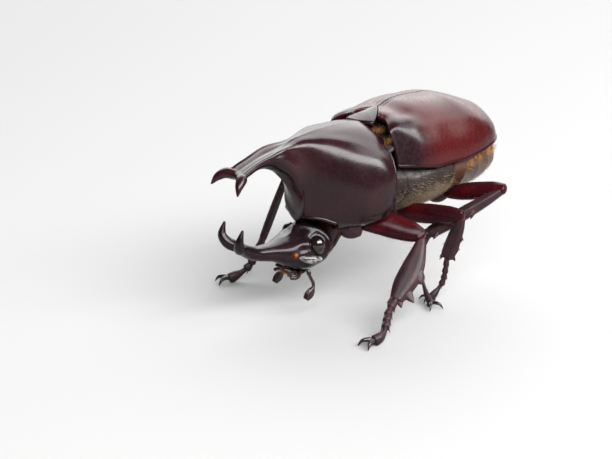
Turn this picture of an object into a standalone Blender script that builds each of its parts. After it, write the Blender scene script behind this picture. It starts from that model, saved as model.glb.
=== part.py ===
"""Rhinoceros beetle, major male, standing on a floor in a walking pose.

Lengths are written in millimetres and scaled to metres when a mesh is stored.
The beetle faces -Y, its left side is +X, and the floor is Z = 0.
"""
import math

import bmesh
import bpy
import numpy as np
from mathutils import Vector

# Driving dimensions, millimetres and degrees
MM = 0.001
GAP = 0.3                      # clear space between neighbouring pieces
BODY_HEIGHT = 24.6             # wing-case margin at its front, above the floor
HIND_TURN = (1.6, 0.0, -4.4)   # hind body: nose down, nose left, left side down
FORE_TURN = (2.0, -6.9, 2.0)   # prothorax and head, the same three angles
FORE_PIVOT = (-0.3, -0.1, 4.0)

ELYTRA_LENGTH = 28.4
ELYTRA_HALF_WIDTH = 12.1
ELYTRA_RISE = 10.6
ELYTRA_THICKNESS = 0.7
SUTURE_GAP = 0.3
SCUTELLUM_HALF_WIDTH = 3.5
SCUTELLUM_LENGTH = 4.2

HORN_PARTING = 11.6            # station along the prothorax where the horn begins
HEAD_PARTING = 6.2             # station along the head where its horn begins
EYE_RADII = (1.35, 1.35, 1.75)
EYE_CENTRE = (4.1, -13.35, -11.15)
OPENING_FRONT, OPENING_BACK, OPENING_FOOT = -19.0, -11.0, -20.0

FLAT_DEPTH = 0.06              # how far a foot is trimmed to stand on the floor

# Stations of the prothorax and its horn, from the rear edge to the fork:
# top y, top z, bottom y, bottom z, half width
PROTHORAX = [
    (0.2, 7.5, -1.6, -9.0, 11.0),
    (-0.8, 8.1, -2.4, -9.5, 11.5),
    (-2.8, 8.5, -4.0, -9.9, 11.75),
    (-5.5, 8.65, -6.0, -10.1, 11.4),
    (-8.0, 8.6, -7.9, -10.2, 10.5),
    (-10.3, 8.5, -9.8, -10.2, 8.6),
    (-12.3, 8.3, -11.9, -9.8, 6.5),
    (-14.0, 8.1, -14.1, -8.8, 4.5),
    (-15.4, 7.9, -15.2, -7.2, 3.4),
    (-16.6, 7.65, -15.2, -5.2, 3.0),
    (-17.8, 7.4, -15.9, -2.7, 2.85),
    (-19.0, 7.1, -17.4, 0.1, 2.8),
    (-20.3, 6.75, -19.5, 2.3, 2.7),
    (-21.6, 6.35, -21.2, 3.5, 2.5),
    (-23.0, 5.9, -22.8, 3.75, 2.25),
    (-24.4, 5.4, -24.2, 3.45, 2.15),
    (-25.7, 4.9, -25.5, 2.9, 2.25),
    (-27.0, 4.3, -26.8, 2.5, 2.2),
    (-27.9, 3.7, -27.8, 2.8, 1.3),
]
# Half sections as (height -1..1, width 0..1), top to bottom
SHIELD_SECTION = [(1, 0), (.94, .27), (.80, .53), (.54, .79), (.23, .94), (-.1, 1),
                  (-.4, .98), (-.62, .90), (-.80, .68), (-.93, .36), (-1, 0)]
HORN_SECTION = [(.90, 0), (.97, .28), (1.0, .52), (.90, .82), (.58, 1), (.2, .95),
                (-.2, .78), (-.55, .52), (-.80, .32), (-.95, .14), (-1, 0)]
HORN_TINE = [(1.2, -25.9, 3.9), (2.3, -27.5, 3.75), (3.3, -28.9, 2.9), (3.95, -29.7, 1.6)]

# Stations of the head and its horn: top y, top z, bottom y, bottom z, half width
HEAD = [
    (-10.6, -9.5, -10.8, -14.9, 4.3),
    (-11.5, -8.8, -11.7, -15.7, 4.75),
    (-12.8, -8.5, -12.8, -16.1, 4.8),
    (-14.3, -8.5, -14.3, -16.4, 4.7),
    (-15.8, -9.0, -15.8, -16.2, 4.4),
    (-17.2, -9.8, -17.4, -15.6, 3.8),
    (-18.7, -10.3, -18.9, -14.7, 3.0),
    (-20.2, -10.5, -20.3, -13.8, 2.2),
    (-21.7, -10.5, -21.9, -13.3, 1.8),
    (-23.5, -10.3, -23.7, -12.8, 1.6),
    (-25.3, -9.5, -25.7, -11.9, 1.6),
    (-26.8, -8.5, -27.6, -10.2, 1.7),
    (-27.7, -8.0, -28.4, -8.8, 1.1),
]
HEAD_SECTION = [(1, 0), (.97, .32), (.84, .64), (.58, .88), (.22, .99), (-.12, 1),
                (-.42, .95), (-.68, .80), (-.87, .55), (-.97, .27), (-1, 0)]
HEAD_TINE = [(.75, -26.6, -9.6), (1.9, -28.2, -9.1), (2.75, -28.8, -7.6), (2.74, -28.1, -5.3)]

# Stations of the hind body below the wing cases: y, top z, bottom z, half width
THORAX = [(-0.6, 5.0, -7.4, 7.8), (1.2, 6.2, -8.6, 9.2), (3.0, 6.4, -9.3, 10.2),
          (6.0, 7.5, -9.6, 10.9), (9.0, 7.8, -9.5, 11.1), (11.6, 7.8, -9.2, 11.2)]
ABDOMEN = [(12.0, 7.8, -9.1, 11.2), (15.0, 7.8, -9.0, 11.4), (18.5, 7.4, -8.9, 11.4),
           (21.5, 6.6, -8.5, 10.9), (24.0, 5.0, -7.6, 9.9), (26.0, 3.0, -6.2, 8.2),
           (27.4, 0.9, -4.6, 5.8), (28.0, -0.3, -3.4, 3.0)]
BODY_SECTION = [(1, 0), (.92, .30), (.74, .55), (.50, .74), (.24, .86), (.04, .93),
                (-.10, .975), (-.32, .96), (-.56, .84), (-.78, .62), (-.94, .34), (-1, 0)]

# Joints of each leg in the floor frame before the body is raised: hip piece, root of
# the thigh, knee, ankle, then the path of the foot ending at the claws
LEGS = {
    "front_left": [(5.0, -7.4, -9.4), (3.7, -5.2, -7.6), (14.1, 0.5, -10.1), (15.6, -7.6, -19.4),
                   (16.4, -10.3, -20.9), (18.6, -13.8, -23.0), (18.7, -16.0, -23.7)],
    "mid_left": [(4.4, 3.9, -8.9), (4.4, 3.9, -8.9), (16.7, 7.8, -7.4), (13.4, 7.9, -16.0),
                 (13.0, 8.0, -18.7), (12.5, 7.8, -21.3), (11.6, 6.0, -23.9)],
    "hind_left": [(6.2, 13.7, -7.0), (6.2, 13.7, -7.0), (18.3, 17.1, -4.2), (10.2, 7.0, -12.0),
                  (8.9, 6.0, -15.3), (9.4, 5.4, -18.6), (11.5, 4.3, -21.9), (13.6, 3.6, -23.8)],
    "front_right": [(-7.2, -6.2, -9.0), (-7.2, -6.2, -9.0), (-17.5, -2.7, -5.2),
                    (-17.3, -9.1, -16.4), (-18.3, -9.8, -19.4), (-19.2, -11.6, -22.2),
                    (-20.5, -14.4, -23.7)],
    "mid_right": [(-5.8, 5.0, -8.8), (-5.8, 5.0, -8.8), (-15.8, 6.3, -6.8), (-18.6, 4.9, -15.8),
                  (-19.3, 4.2, -19.5), (-20.4, 3.4, -22.9), (-22.0, 2.2, -23.9)],
    "hind_right": [(-5.8, 14.1, -8.4), (-5.8, 14.1, -8.4), (-15.6, 19.5, -4.6),
                   (-18.2, 25.2, -13.8), (-18.9, 26.6, -18.6), (-20.0, 28.6, -23.1),
                   (-21.4, 30.2, -23.8)],
}
SHIN_TWIST = {"front_right": -38.0}   # degrees about the shin's own length
LEG_SIZE = {"front": 1.0, "mid": 0.88, "hind": 1.0}
# Reach of the thigh and the shin in the plane of the leg and across it, root to end
THIGHS = {
    "front": [(2.40, 1.50), (2.35, 1.50), (2.30, 1.45), (2.25, 1.40), (2.10, 1.30), (1.80, 1.20),
              (1.15, .85)],
    "mid": [(1.60, 1.20), (2.00, 1.35), (2.15, 1.40), (2.15, 1.40), (2.00, 1.30), (1.75, 1.20),
            (1.10, .85)],
    "hind": [(.90, .80), (1.45, 1.15), (1.75, 1.30), (1.80, 1.32), (1.75, 1.28), (1.60, 1.20),
             (1.10, .85)],
}
SHINS = {
    "front": [(.80, .62), (1.35, .72), (1.85, .80), (2.05, .82), (1.85, .80), (1.25, .70)],
    "mid": [(.80, .70), (1.15, .90), (1.40, 1.00), (1.50, 1.02), (1.55, 1.02), (1.35, .90)],
    "hind": [(.75, .75), (1.05, 1.00), (1.25, 1.15), (1.35, 1.20), (1.45, 1.20), (1.30, 1.00)],
}
SHIN_BOW = {"front": (0, .3, .5, .5, .25, .1), "mid": (0, .1, .1, .1, .1, 0),
            "hind": (0, .1, .1, .1, .1, 0)}
FOOT_GIRTH = {"front": 1.75, "mid": 1.45, "hind": 1.15}
CLAW_LENGTH = {"front": 1.5, "mid": 1.25, "hind": 1.2}
SIDES = (("left", 1.0), ("right", -1.0))


# Small geometry helpers
def turn(pitch, yaw, roll):
    """Matrix of a body turned nose down, nose left and left side down, in degrees."""
    p, y, r = np.radians([pitch, yaw, roll])
    about_x = np.array([[1, 0, 0], [0, np.cos(p), -np.sin(p)], [0, np.sin(p), np.cos(p)]])
    about_z = np.array([[np.cos(y), -np.sin(y), 0], [np.sin(y), np.cos(y), 0], [0, 0, 1]])
    about_y = np.array([[np.cos(r), 0, np.sin(r)], [0, 1, 0], [-np.sin(r), 0, np.cos(r)]])
    return about_z @ about_x @ about_y


HIND = turn(*HIND_TURN)
FORE = turn(*FORE_TURN)
LIFT = np.array([0, 0, BODY_HEIGHT])


def from_hind(points):
    """Hind-body coordinates to the floor frame."""
    return np.asarray(points, float) @ HIND.T + LIFT


def from_fore(points):
    """Prothorax coordinates to the floor frame."""
    local = np.asarray(points, float) - np.array([0, 0, 4.0])
    return local @ FORE.T + np.array(FORE_PIVOT) + LIFT


def smooth(keys, t):
    """Rows of keys sampled at t in 0..len-1 by a Catmull-Rom curve."""
    keys = np.asarray(keys, float)
    i = np.clip(np.floor(np.asarray(t, float)).astype(int), 0, len(keys) - 2)
    f = (np.asarray(t, float) - i)[..., None]
    a, b = keys[np.clip(i - 1, 0, None)], keys[i]
    c, d = keys[i + 1], keys[np.clip(i + 2, None, len(keys) - 1)]
    return 0.5 * (2 * b + (c - a) * f + (2 * a - 5 * b + 4 * c - d) * f ** 2
                  + (3 * b - a - 3 * c + d) * f ** 3)


def section(profile, count):
    """Closed ring of (height, width) from a half profile, count points in all."""
    half = smooth(profile, np.linspace(0, len(profile) - 1, count // 2 + 1))
    mirror = half[-2:0:-1] * np.array([1, -1])
    return np.vstack([half, mirror])


def blend(low, high, t):
    """Smooth step from 0 at low to 1 at high."""
    f = np.clip((t - low) / (high - low), 0, 1)
    return f * f * (3 - 2 * f)


def fan_rings(stations, times, profiles, count, grow=0.0):
    """Rings whose planes run from a top point to a bottom point on the midline."""
    rings = []
    for t in times:
        ty, tz, by, bz, w = smooth(stations, t)
        first, second, share = profiles(t)
        ring = section(first, count) * (1 - share) + section(second, count) * share
        top, bottom = np.array([ty, tz]), np.array([by, bz])
        centre, reach = (top + bottom) / 2, (top - bottom) / 2
        reach = reach * (1 + grow / np.linalg.norm(reach))
        line = centre + ring[:, :1] * reach
        rings.append(np.column_stack([ring[:, 1] * (w + grow), line]))
    return rings


def band_rings(stations, times, profile, count, grow=0.0):
    """Upright rings of the hind body."""
    rings = []
    ring = section(profile, count)
    for t in times:
        y, top, bottom, w = smooth(stations, t)
        z = (top + bottom) / 2 + ring[:, 0] * ((top - bottom) / 2 + grow)
        rings.append(np.column_stack([ring[:, 1] * (w + grow), np.full(len(z), y), z]))
    return rings


def unit(v):
    """Vector of length one."""
    v = np.asarray(v, float)
    return v / np.linalg.norm(v)


def tube_rings(path, sizes, side, count, ends=True):
    """Oval rings along a path: sizes are (reach along side, reach across it)."""
    path = np.asarray(path, float)
    tangents = np.gradient(path, axis=0)
    rings = []
    angles = np.linspace(0, 2 * np.pi, count, endpoint=False)
    for p, tangent, (a, b) in zip(path, tangents, sizes):
        tangent = unit(tangent)
        u = unit(np.asarray(side, float) - np.dot(side, tangent) * tangent)
        v = np.cross(tangent, u)
        rings.append(p + np.outer(np.cos(angles) * a, u) + np.outer(np.sin(angles) * b, v))
    return rings


def new_object(name, mesh):
    """Object in the scene with the given mesh."""
    obj = bpy.data.objects.new(name, mesh)
    bpy.context.scene.collection.objects.link(obj)
    return obj


def loft(name, rings, flat_ends=(0.0, 0.0)):
    """Closed mesh through rings of equal length, with a point at each end."""
    bm = bmesh.new()
    rows = [[bm.verts.new(Vector(p) * MM) for p in ring] for ring in rings]
    for lower, upper in zip(rows, rows[1:]):
        for i in range(len(lower)):
            j = (i + 1) % len(lower)
            bm.faces.new((lower[i], lower[j], upper[j], upper[i]))
    for ring, row, inner, push in ((rings[0], rows[0], rings[1], flat_ends[0]),
                                   (rings[-1], rows[-1], rings[-2], flat_ends[1])):
        centre = np.mean(ring, axis=0)
        out = unit(centre - np.mean(inner, axis=0))
        tip = bm.verts.new(Vector(centre + out * push) * MM)
        for i in range(len(row)):
            bm.faces.new((row[i], row[(i + 1) % len(row)], tip))
    bmesh.ops.recalc_face_normals(bm, faces=bm.faces)
    mesh = bpy.data.meshes.new(name)
    bm.to_mesh(mesh)
    bm.free()
    return new_object(name, mesh)


def grid_shell(name, outer, inner):
    """Closed plate between two grids of the same shape."""
    rows, cols = outer.shape[:2]
    bm = bmesh.new()
    a = [[bm.verts.new(Vector(p) * MM) for p in row] for row in outer]
    b = [[bm.verts.new(Vector(p) * MM) for p in row] for row in inner]
    for i in range(rows - 1):
        for j in range(cols - 1):
            bm.faces.new((a[i][j], a[i + 1][j], a[i + 1][j + 1], a[i][j + 1]))
            bm.faces.new((b[i][j], b[i][j + 1], b[i + 1][j + 1], b[i + 1][j]))
    for i in range(rows - 1):
        bm.faces.new((a[i][0], b[i][0], b[i + 1][0], a[i + 1][0]))
        bm.faces.new((a[i][-1], a[i + 1][-1], b[i + 1][-1], b[i][-1]))
    for j in range(cols - 1):
        bm.faces.new((a[0][j], a[0][j + 1], b[0][j + 1], b[0][j]))
        bm.faces.new((a[-1][j], b[-1][j], b[-1][j + 1], a[-1][j + 1]))
    bmesh.ops.recalc_face_normals(bm, faces=bm.faces)
    mesh = bpy.data.meshes.new(name)
    bm.to_mesh(mesh)
    bm.free()
    return new_object(name, mesh)


def ball(name, centre, radii, count=14, rows=8):
    """Closed ellipsoid."""
    bm = bmesh.new()
    bmesh.ops.create_uvsphere(bm, u_segments=count, v_segments=rows, radius=MM)
    for v in bm.verts:
        v.co = Vector([v.co[k] * radii[k] + centre[k] * MM for k in range(3)])
    mesh = bpy.data.meshes.new(name)
    bm.to_mesh(mesh)
    bm.free()
    return new_object(name, mesh)


def move(obj, place):
    """Send every vertex through a function of millimetre coordinates."""
    mesh = obj.data
    points = np.array([v.co[:] for v in mesh.vertices]) / MM
    points = place(points) * MM
    mesh.vertices.foreach_set("co", points.ravel())
    mesh.update()
    return obj


def mirrored(obj, name):
    """Copy of an object on the other side of the midline, faces turned out."""
    bm = bmesh.new()
    bm.from_mesh(obj.data)
    for v in bm.verts:
        v.co.x = -v.co.x
    bmesh.ops.reverse_faces(bm, faces=bm.faces)
    mesh = bpy.data.meshes.new(name)
    bm.to_mesh(mesh)
    bm.free()
    return new_object(name, mesh)


def drop(objects):
    """Remove working objects."""
    for obj in objects:
        bpy.data.objects.remove(obj)


def apply_boolean(obj, others, operation):
    """Union or difference with closed meshes, which are then removed."""
    group = bpy.data.collections.new("group")
    bpy.context.scene.collection.children.link(group)
    for other in others:
        group.objects.link(other)
    mod = obj.modifiers.new("boolean", "BOOLEAN")
    mod.operation = operation
    mod.operand_type = "COLLECTION"
    mod.collection = group
    mod.solver = "MANIFOLD"
    graph = bpy.context.evaluated_depsgraph_get()
    mesh = bpy.data.meshes.new_from_object(obj.evaluated_get(graph))
    obj.modifiers.clear()
    obj.data = mesh
    for other in others:
        group.objects.unlink(other)
    bpy.data.collections.remove(group)
    drop(others)
    return tidy(obj)


def tidy(obj):
    """Keep the largest closed surface."""
    bm = bmesh.new()
    bm.from_mesh(obj.data)
    seen, shells = set(), []
    for start in bm.verts:
        if start in seen:
            continue
        stack, shell = [start], []
        seen.add(start)
        while stack:
            v = stack.pop()
            shell.append(v)
            for edge in v.link_edges:
                other = edge.other_vert(v)
                if other not in seen:
                    seen.add(other)
                    stack.append(other)
        shells.append(shell)
    shells.sort(key=len)
    for shell in shells[:-1]:
        bmesh.ops.delete(bm, geom=shell, context="VERTS")
    bm.to_mesh(obj.data)
    bm.free()
    return obj


def trim_floor(obj, level):
    """Cut off what lies below a level and close the cut flat."""
    bm = bmesh.new()
    bm.from_mesh(obj.data)
    geom = bm.verts[:] + bm.edges[:] + bm.faces[:]
    cut = bmesh.ops.bisect_plane(bm, geom=geom, dist=1e-7, plane_co=(0, 0, level * MM),
                                 plane_no=(0, 0, -1), clear_outer=True)
    edges = [e for e in cut["geom_cut"] if isinstance(e, bmesh.types.BMEdge)]
    bmesh.ops.holes_fill(bm, edges=edges)
    bmesh.ops.triangulate(bm, faces=[f for f in bm.faces if len(f.verts) > 4])
    bmesh.ops.recalc_face_normals(bm, faces=bm.faces)
    if bm.calc_volume(signed=True) < 0:
        bmesh.ops.reverse_faces(bm, faces=bm.faces)
    bm.to_mesh(obj.data)
    bm.free()
    return obj


def spike(start, tip, radius, count=6, flat=1.0, side=(0.1, 0.2, 0.97)):
    """Curved-cone tooth from start to tip, about fifteen triangles."""
    start, tip = np.asarray(start, float), np.asarray(tip, float)
    path = [start, start * 0.45 + tip * 0.55]
    sizes = [(radius, radius * flat), (radius * 0.62, radius * 0.62 * flat)]
    reach = np.linalg.norm(tip - path[1])
    return loft("spike", tube_rings(path, sizes, side, count), (0.0, reach))


def segment(path, sizes, side, count, steps, name="segment"):
    """Tube through key points with key sizes, ends rounded by a short dome."""
    t = np.linspace(0, len(path) - 1, steps)
    points = smooth(path, t)
    widths = smooth(sizes, np.linspace(0, len(sizes) - 1, steps))
    rings = tube_rings(points, widths, side, count)
    return loft(name, rings, (widths[0][1] * 0.4, widths[-1][1] * 0.4))


# Prothorax and thoracic horn
def shield_profiles(t):
    """The two half sections that meet at a station, and the share of the second."""
    return SHIELD_SECTION, HORN_SECTION, float(blend(7.5, 13.0, t))


def make_prothorax(grow=0.0):
    """Shield of the prothorax up to the root of its horn, or the room it needs."""
    times = [0, .35, 1, 2, 3, 4, 5, 6, 7, 8, 9, 10, 10.8, HORN_PARTING - 0.12]
    rings = fan_rings(PROTHORAX, times, shield_profiles, 34, grow)
    for ring in rings:
        ring[:, 1] -= 0.3 * (np.abs(ring[:, 0]) / 11.4) ** 2 * np.exp(ring[0, 1] / 4.0)
    if grow:
        return loft("shield_room", [rings[0] + np.array([0, grow, 0])] + rings)
    rear = rings[0] * np.array([0.90, 1, 0.90]) + np.array([0, -1.0, 0])
    return loft("prothorax", [rear] + rings, (-1.2, 0.0))


def make_opening():
    """Room under the front of the shield in which the head moves."""
    x = np.linspace(-8.2, 8.2, 21)
    roof = -5.7 - 1.1 * np.exp(-(x / 2.0) ** 2) - 4.0 * (np.abs(x) / 8.2) ** 5
    edge = np.vstack([np.column_stack([x, roof]), [(8.2, OPENING_FOOT), (-8.2, OPENING_FOOT)]])
    return loft("opening", [np.column_stack([edge[:, 0], np.full(len(edge), y), edge[:, 1]])
                            for y in (OPENING_FRONT, OPENING_BACK)])


def make_horn():
    """Thoracic horn with its two downcurved points."""
    times = [HORN_PARTING + 0.12, 12.3, 13, 14, 15, 16, 16.8, 17.5, 18]
    rings = fan_rings(PROTHORAX, times, shield_profiles, 18)
    horn = loft("thorax_horn", rings, (0.0, 0.15))
    sizes = [(1.05, 1.05), (1.0, 0.95), (0.72, 0.68), (0.22, 0.22)]
    tines = []
    for _, sign in SIDES:
        path = np.array(HORN_TINE) * np.array([sign, 1, 1])
        tines.append(segment(path, sizes, (0, 0, 1), 9, 7, "tine"))
    return apply_boolean(horn, tines, "UNION")


# Head, its horn, eyes, feelers and mouth
def head_profiles(t):
    """The head keeps one half section."""
    return HEAD_SECTION, HEAD_SECTION, 0.0


def make_head(grow=0.0):
    """Head capsule up to the root of its horn, or the room it needs."""
    times = [0, .4, 1, 2, 3, 4, 5, 5.6, HEAD_PARTING - 0.1]
    return loft("head", fan_rings(HEAD, times, head_profiles, 26, grow), (0.3, 0.0))


def make_head_horn():
    """Head horn with its two upcurved points."""
    times = [HEAD_PARTING + 0.1, 7, 8, 9, 10, 11, 12]
    horn = loft("head_horn", fan_rings(HEAD, times, head_profiles, 16), (0.0, 0.2))
    sizes = [(1.1, 1.1), (1.1, 0.95), (0.85, 0.72), (0.22, 0.2)]
    tines = []
    for _, sign in SIDES:
        path = np.array(HEAD_TINE) * np.array([sign, 1, 1])
        tines.append(segment(path, sizes, (0, 1, 0), 9, 7, "tine"))
    return apply_boolean(horn, tines, "UNION")


ANTENNA_PATH = [(4.4, -15.6, -15.2), (4.7, -15.5, -16.2), (4.7, -15.0, -17.2),
                (4.6, -14.6, -18.0), (4.7, -14.7, -18.8)]


def make_antenna():
    """Scape, six beads and a club of three plates."""
    path = np.array(ANTENNA_PATH)
    base = segment(path[:2], [(0.34, 0.34), (0.42, 0.42), (0.3, 0.3)], (1, 0, 0), 8, 4)
    pieces = []
    for k in range(6):
        a = smooth(path, 1.0 + k * 0.5)
        b = smooth(path, 1.0 + (k + 1) * 0.5 + 0.12 if k < 5 else 4.0)
        pieces.append(segment([a, b], [(0.24, 0.24), (0.33, 0.33), (0.27, 0.27)],
                              (1, 0, 0), 5, 3))
    for k in (-1, 0, 1):
        root = np.array([4.7 + 0.12 * k, -14.7, -18.7])
        tip = np.array([4.75 + 0.42 * k, -16.3, -20.4])
        mid = (root + tip) / 2 + np.array([0.1 * k, 0.1, 0.05])
        sizes = [(0.22, 0.3), (0.26, 0.62), (0.26, 0.66), (0.2, 0.36)]
        pieces.append(segment([root, mid, tip], sizes, (1, 0, 0), 7, 4))
    return apply_boolean(base, pieces, "UNION")


def make_mouth():
    """Lower lip plate with two mandible tips, two long and two short feelers."""
    base = segment([(0, -13.4, -16.95), (0, -15.6, -16.9), (0, -17.4, -16.35)],
                   [(1.2, 0.35), (2.0, 0.55), (1.6, 0.5)], (1, 0, 0), 14, 7, "mouthparts")
    pieces = []
    for _, s in SIDES:
        pieces.append(segment([(1.2 * s, -16.5, -16.3), (1.6 * s, -17.5, -15.9),
                               (1.2 * s, -18.4, -15.4)],
                              [(0.7, 0.45), (0.6, 0.4), (0.25, 0.2)], (1, 0, 0), 6, 4))
        pieces.append(segment([(1.7 * s, -15.4, -16.5), (2.5 * s, -16.2, -16.9),
                               (2.7 * s, -17.1, -17.0), (2.4 * s, -17.9, -16.8)],
                              [(0.34, 0.34), (0.34, 0.34), (0.38, 0.38), (0.28, 0.28)],
                              (0, 0, 1), 6, 5))
        pieces.append(segment([(0.6 * s, -15.9, -16.7), (0.9 * s, -16.7, -17.1),
                               (0.8 * s, -17.3, -17.1)],
                              [(0.28, 0.28), (0.28, 0.28), (0.25, 0.25)], (0, 0, 1), 5, 4))
    return apply_boolean(base, pieces, "UNION")


# Wing cases, scutellum and the body under them
ELYTRA_WIDTHS = [(0, .70), (.04, .82), (.12, .91), (.35, .97), (.55, 1.0), (.72, .97),
                 (.86, .84), (.95, .58), (1, .16)]
ELYTRA_TOPS = [(0, .70), (.04, .84), (.15, .95), (.35, 1.0), (.55, .97), (.75, .82),
               (.88, .60), (.96, .36), (1, .18)]
ELYTRA_MARGINS = [(0, 1.0), (.06, .7), (.12, .3), (.2, -.35), (.27, -.7), (.46, -.8), (.6, -.5),
                  (.8, .3), (.95, .9), (1, 1.06)]


def at(keys, x):
    """Value of a keyed curve at x, monotone and smooth."""
    xs, ys = np.array(keys, float).T
    slopes = np.diff(ys) / np.diff(xs)
    m = np.concatenate([[slopes[0]], (slopes[1:] + slopes[:-1]) / 2, [slopes[-1]]])
    for k in range(len(slopes)):
        if slopes[k] == 0 or m[k] * slopes[k] < 0 or m[k + 1] * slopes[k] < 0:
            m[k] = m[k + 1] = 0
        else:
            m[k] = np.sign(slopes[k]) * min(abs(m[k]), 3 * abs(slopes[k]))
            m[k + 1] = np.sign(slopes[k]) * min(abs(m[k + 1]), 3 * abs(slopes[k]))
    i = np.clip(np.searchsorted(xs, x, side="right") - 1, 0, len(xs) - 2)
    h = xs[i + 1] - xs[i]
    f = (x - xs[i]) / h
    return ((2 * f ** 3 - 3 * f ** 2 + 1) * ys[i] + (f ** 3 - 2 * f ** 2 + f) * h * m[i]
            + (3 * f ** 2 - 2 * f ** 3) * ys[i + 1] + (f ** 3 - f ** 2) * h * m[i + 1])


def elytra_point(along, around, inset=0.0):
    """Point of the left wing case: along 0..1 front to rear, around 0..1 seam to edge."""
    start = 0.9
    y = start + (ELYTRA_LENGTH - start - inset) * math.sin(along * math.pi / 2) ** 1.1
    u = (y + inset * along) / ELYTRA_LENGTH
    w = max(ELYTRA_HALF_WIDTH * float(at(ELYTRA_WIDTHS, u)) - inset, 0.3)
    low = float(at(ELYTRA_MARGINS, u))
    rise = max(ELYTRA_RISE * float(at(ELYTRA_TOPS, u)) - low - inset, 0.2)
    start_angle = SUTURE_GAP / 2 / w
    angle = start_angle + (math.pi / 2 - start_angle) * around
    x = max(w * math.sin(angle) ** 0.85, SUTURE_GAP / 2)
    shoulder = float(blend(4.5, 8.5, x)) * (1 - float(blend(0.5, 7.0, y)))
    return (x, y - shoulder, low + rise * max(math.cos(angle), 0.0) ** 0.8)


def make_elytron():
    """Left wing case as a thin domed plate."""
    rows, cols = 15, 11
    outer = np.array([[elytra_point(i / (rows - 1), j / (cols - 1))
                       for j in range(cols)] for i in range(rows)])
    inner = np.array([[elytra_point(i / (rows - 1), j / (cols - 1), ELYTRA_THICKNESS)
                       for j in range(cols)] for i in range(rows)])
    outer[:, 0, 0] = SUTURE_GAP / 2
    inner[:, 0, 0] = SUTURE_GAP / 2
    return grid_shell("elytron_left", outer, inner)


def scutellum_outline(grow):
    """Shield outline with convex sides, as (x, y) pairs."""
    points = []
    for k in range(9):
        f = k / 8
        x = SCUTELLUM_HALF_WIDTH * (1 - f ** 1.35)
        points.append((x, SCUTELLUM_LENGTH * f))
    half = np.array(points)
    ring = np.vstack([half, half[-2::-1] * np.array([-1, 1])])
    centre = np.array([0, SCUTELLUM_LENGTH * 0.35])
    out = ring - centre
    return ring + out / np.linalg.norm(out, axis=1)[:, None] * grow


def make_scutellum(grow=0.0, low=7.1, high=None):
    """Small shield between the wing cases, or the room it needs."""
    ring = scutellum_outline(grow)
    top = []
    for x, y in ring:
        z = 7.95 + 0.30 * y - 0.045 * x * x if high is None else high
        top.append((x, y, z))
    bottom = [(x, y, low) for x, y in ring]
    rise = 0.12 if high is None else 0.0
    return loft("scutellum", [np.array(bottom), np.array(top)], (0.0, rise))


def make_thorax(grow=0.0):
    """Middle and hind thorax under the wing cases."""
    times = np.linspace(0, len(THORAX) - 1, 8)
    return loft("hind_thorax", band_rings(THORAX, times, BODY_SECTION, 32, grow), (0.2, 0))


def make_abdomen(grow=0.0):
    """Belly with a shallow step at the rear edge of each ring plate."""
    times, shrink = [], []
    count = len(ABDOMEN) - 1
    for k in range(count):
        times += [k + 0.0, k + 0.82]
        shrink += [0.0, 0.18]
    times.append(float(count))
    shrink.append(0.0)
    rings = [band_rings(ABDOMEN, [t], BODY_SECTION, 24, grow + s * 0.6)[0]
             for t, s in zip(times, shrink)]
    return loft("abdomen", rings, (0.0, 0.3))


# Legs
def leg_side(root, knee, ankle):
    """Normal of the plane in which the leg bends."""
    return unit(np.cross(np.subtract(knee, root), np.subtract(ankle, knee)))


def make_coxa(name, hip, knee, size, grow=0.0):
    """Rounded hip piece, or the room it needs."""
    hip, knee = np.array(hip), np.array(knee)
    out = unit(knee - hip)
    inner = hip - out * 2.6 * size + np.array([0, 0, 0.5])
    sizes = [(1.1, 1.0), (1.55, 1.4), (1.5, 1.35), (1.0, 0.95)]
    path = [inner, hip - out * 1.2 * size, hip + out * 0.1, hip + out * (0.9 * size + grow)]
    sizes = [(a * size + grow, b * size + grow) for a, b in sizes]
    return segment(path, sizes, (0, 0, 1), 14, 8, name)


def make_femur(name, kind, root, knee, ankle, size):
    """Flattened, nearly straight-sided thigh."""
    root, knee = np.array(root), np.array(knee)
    out = unit(knee - root)
    wide = np.cross(out, leg_side(root, knee, ankle))
    start = root + out * size
    path = [start + (knee - start) * f for f in (0, 0.25, 0.5, 0.75, 1.0)]
    return segment(path, np.array(THIGHS[kind]) * size, wide, 12, 9, name)


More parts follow.
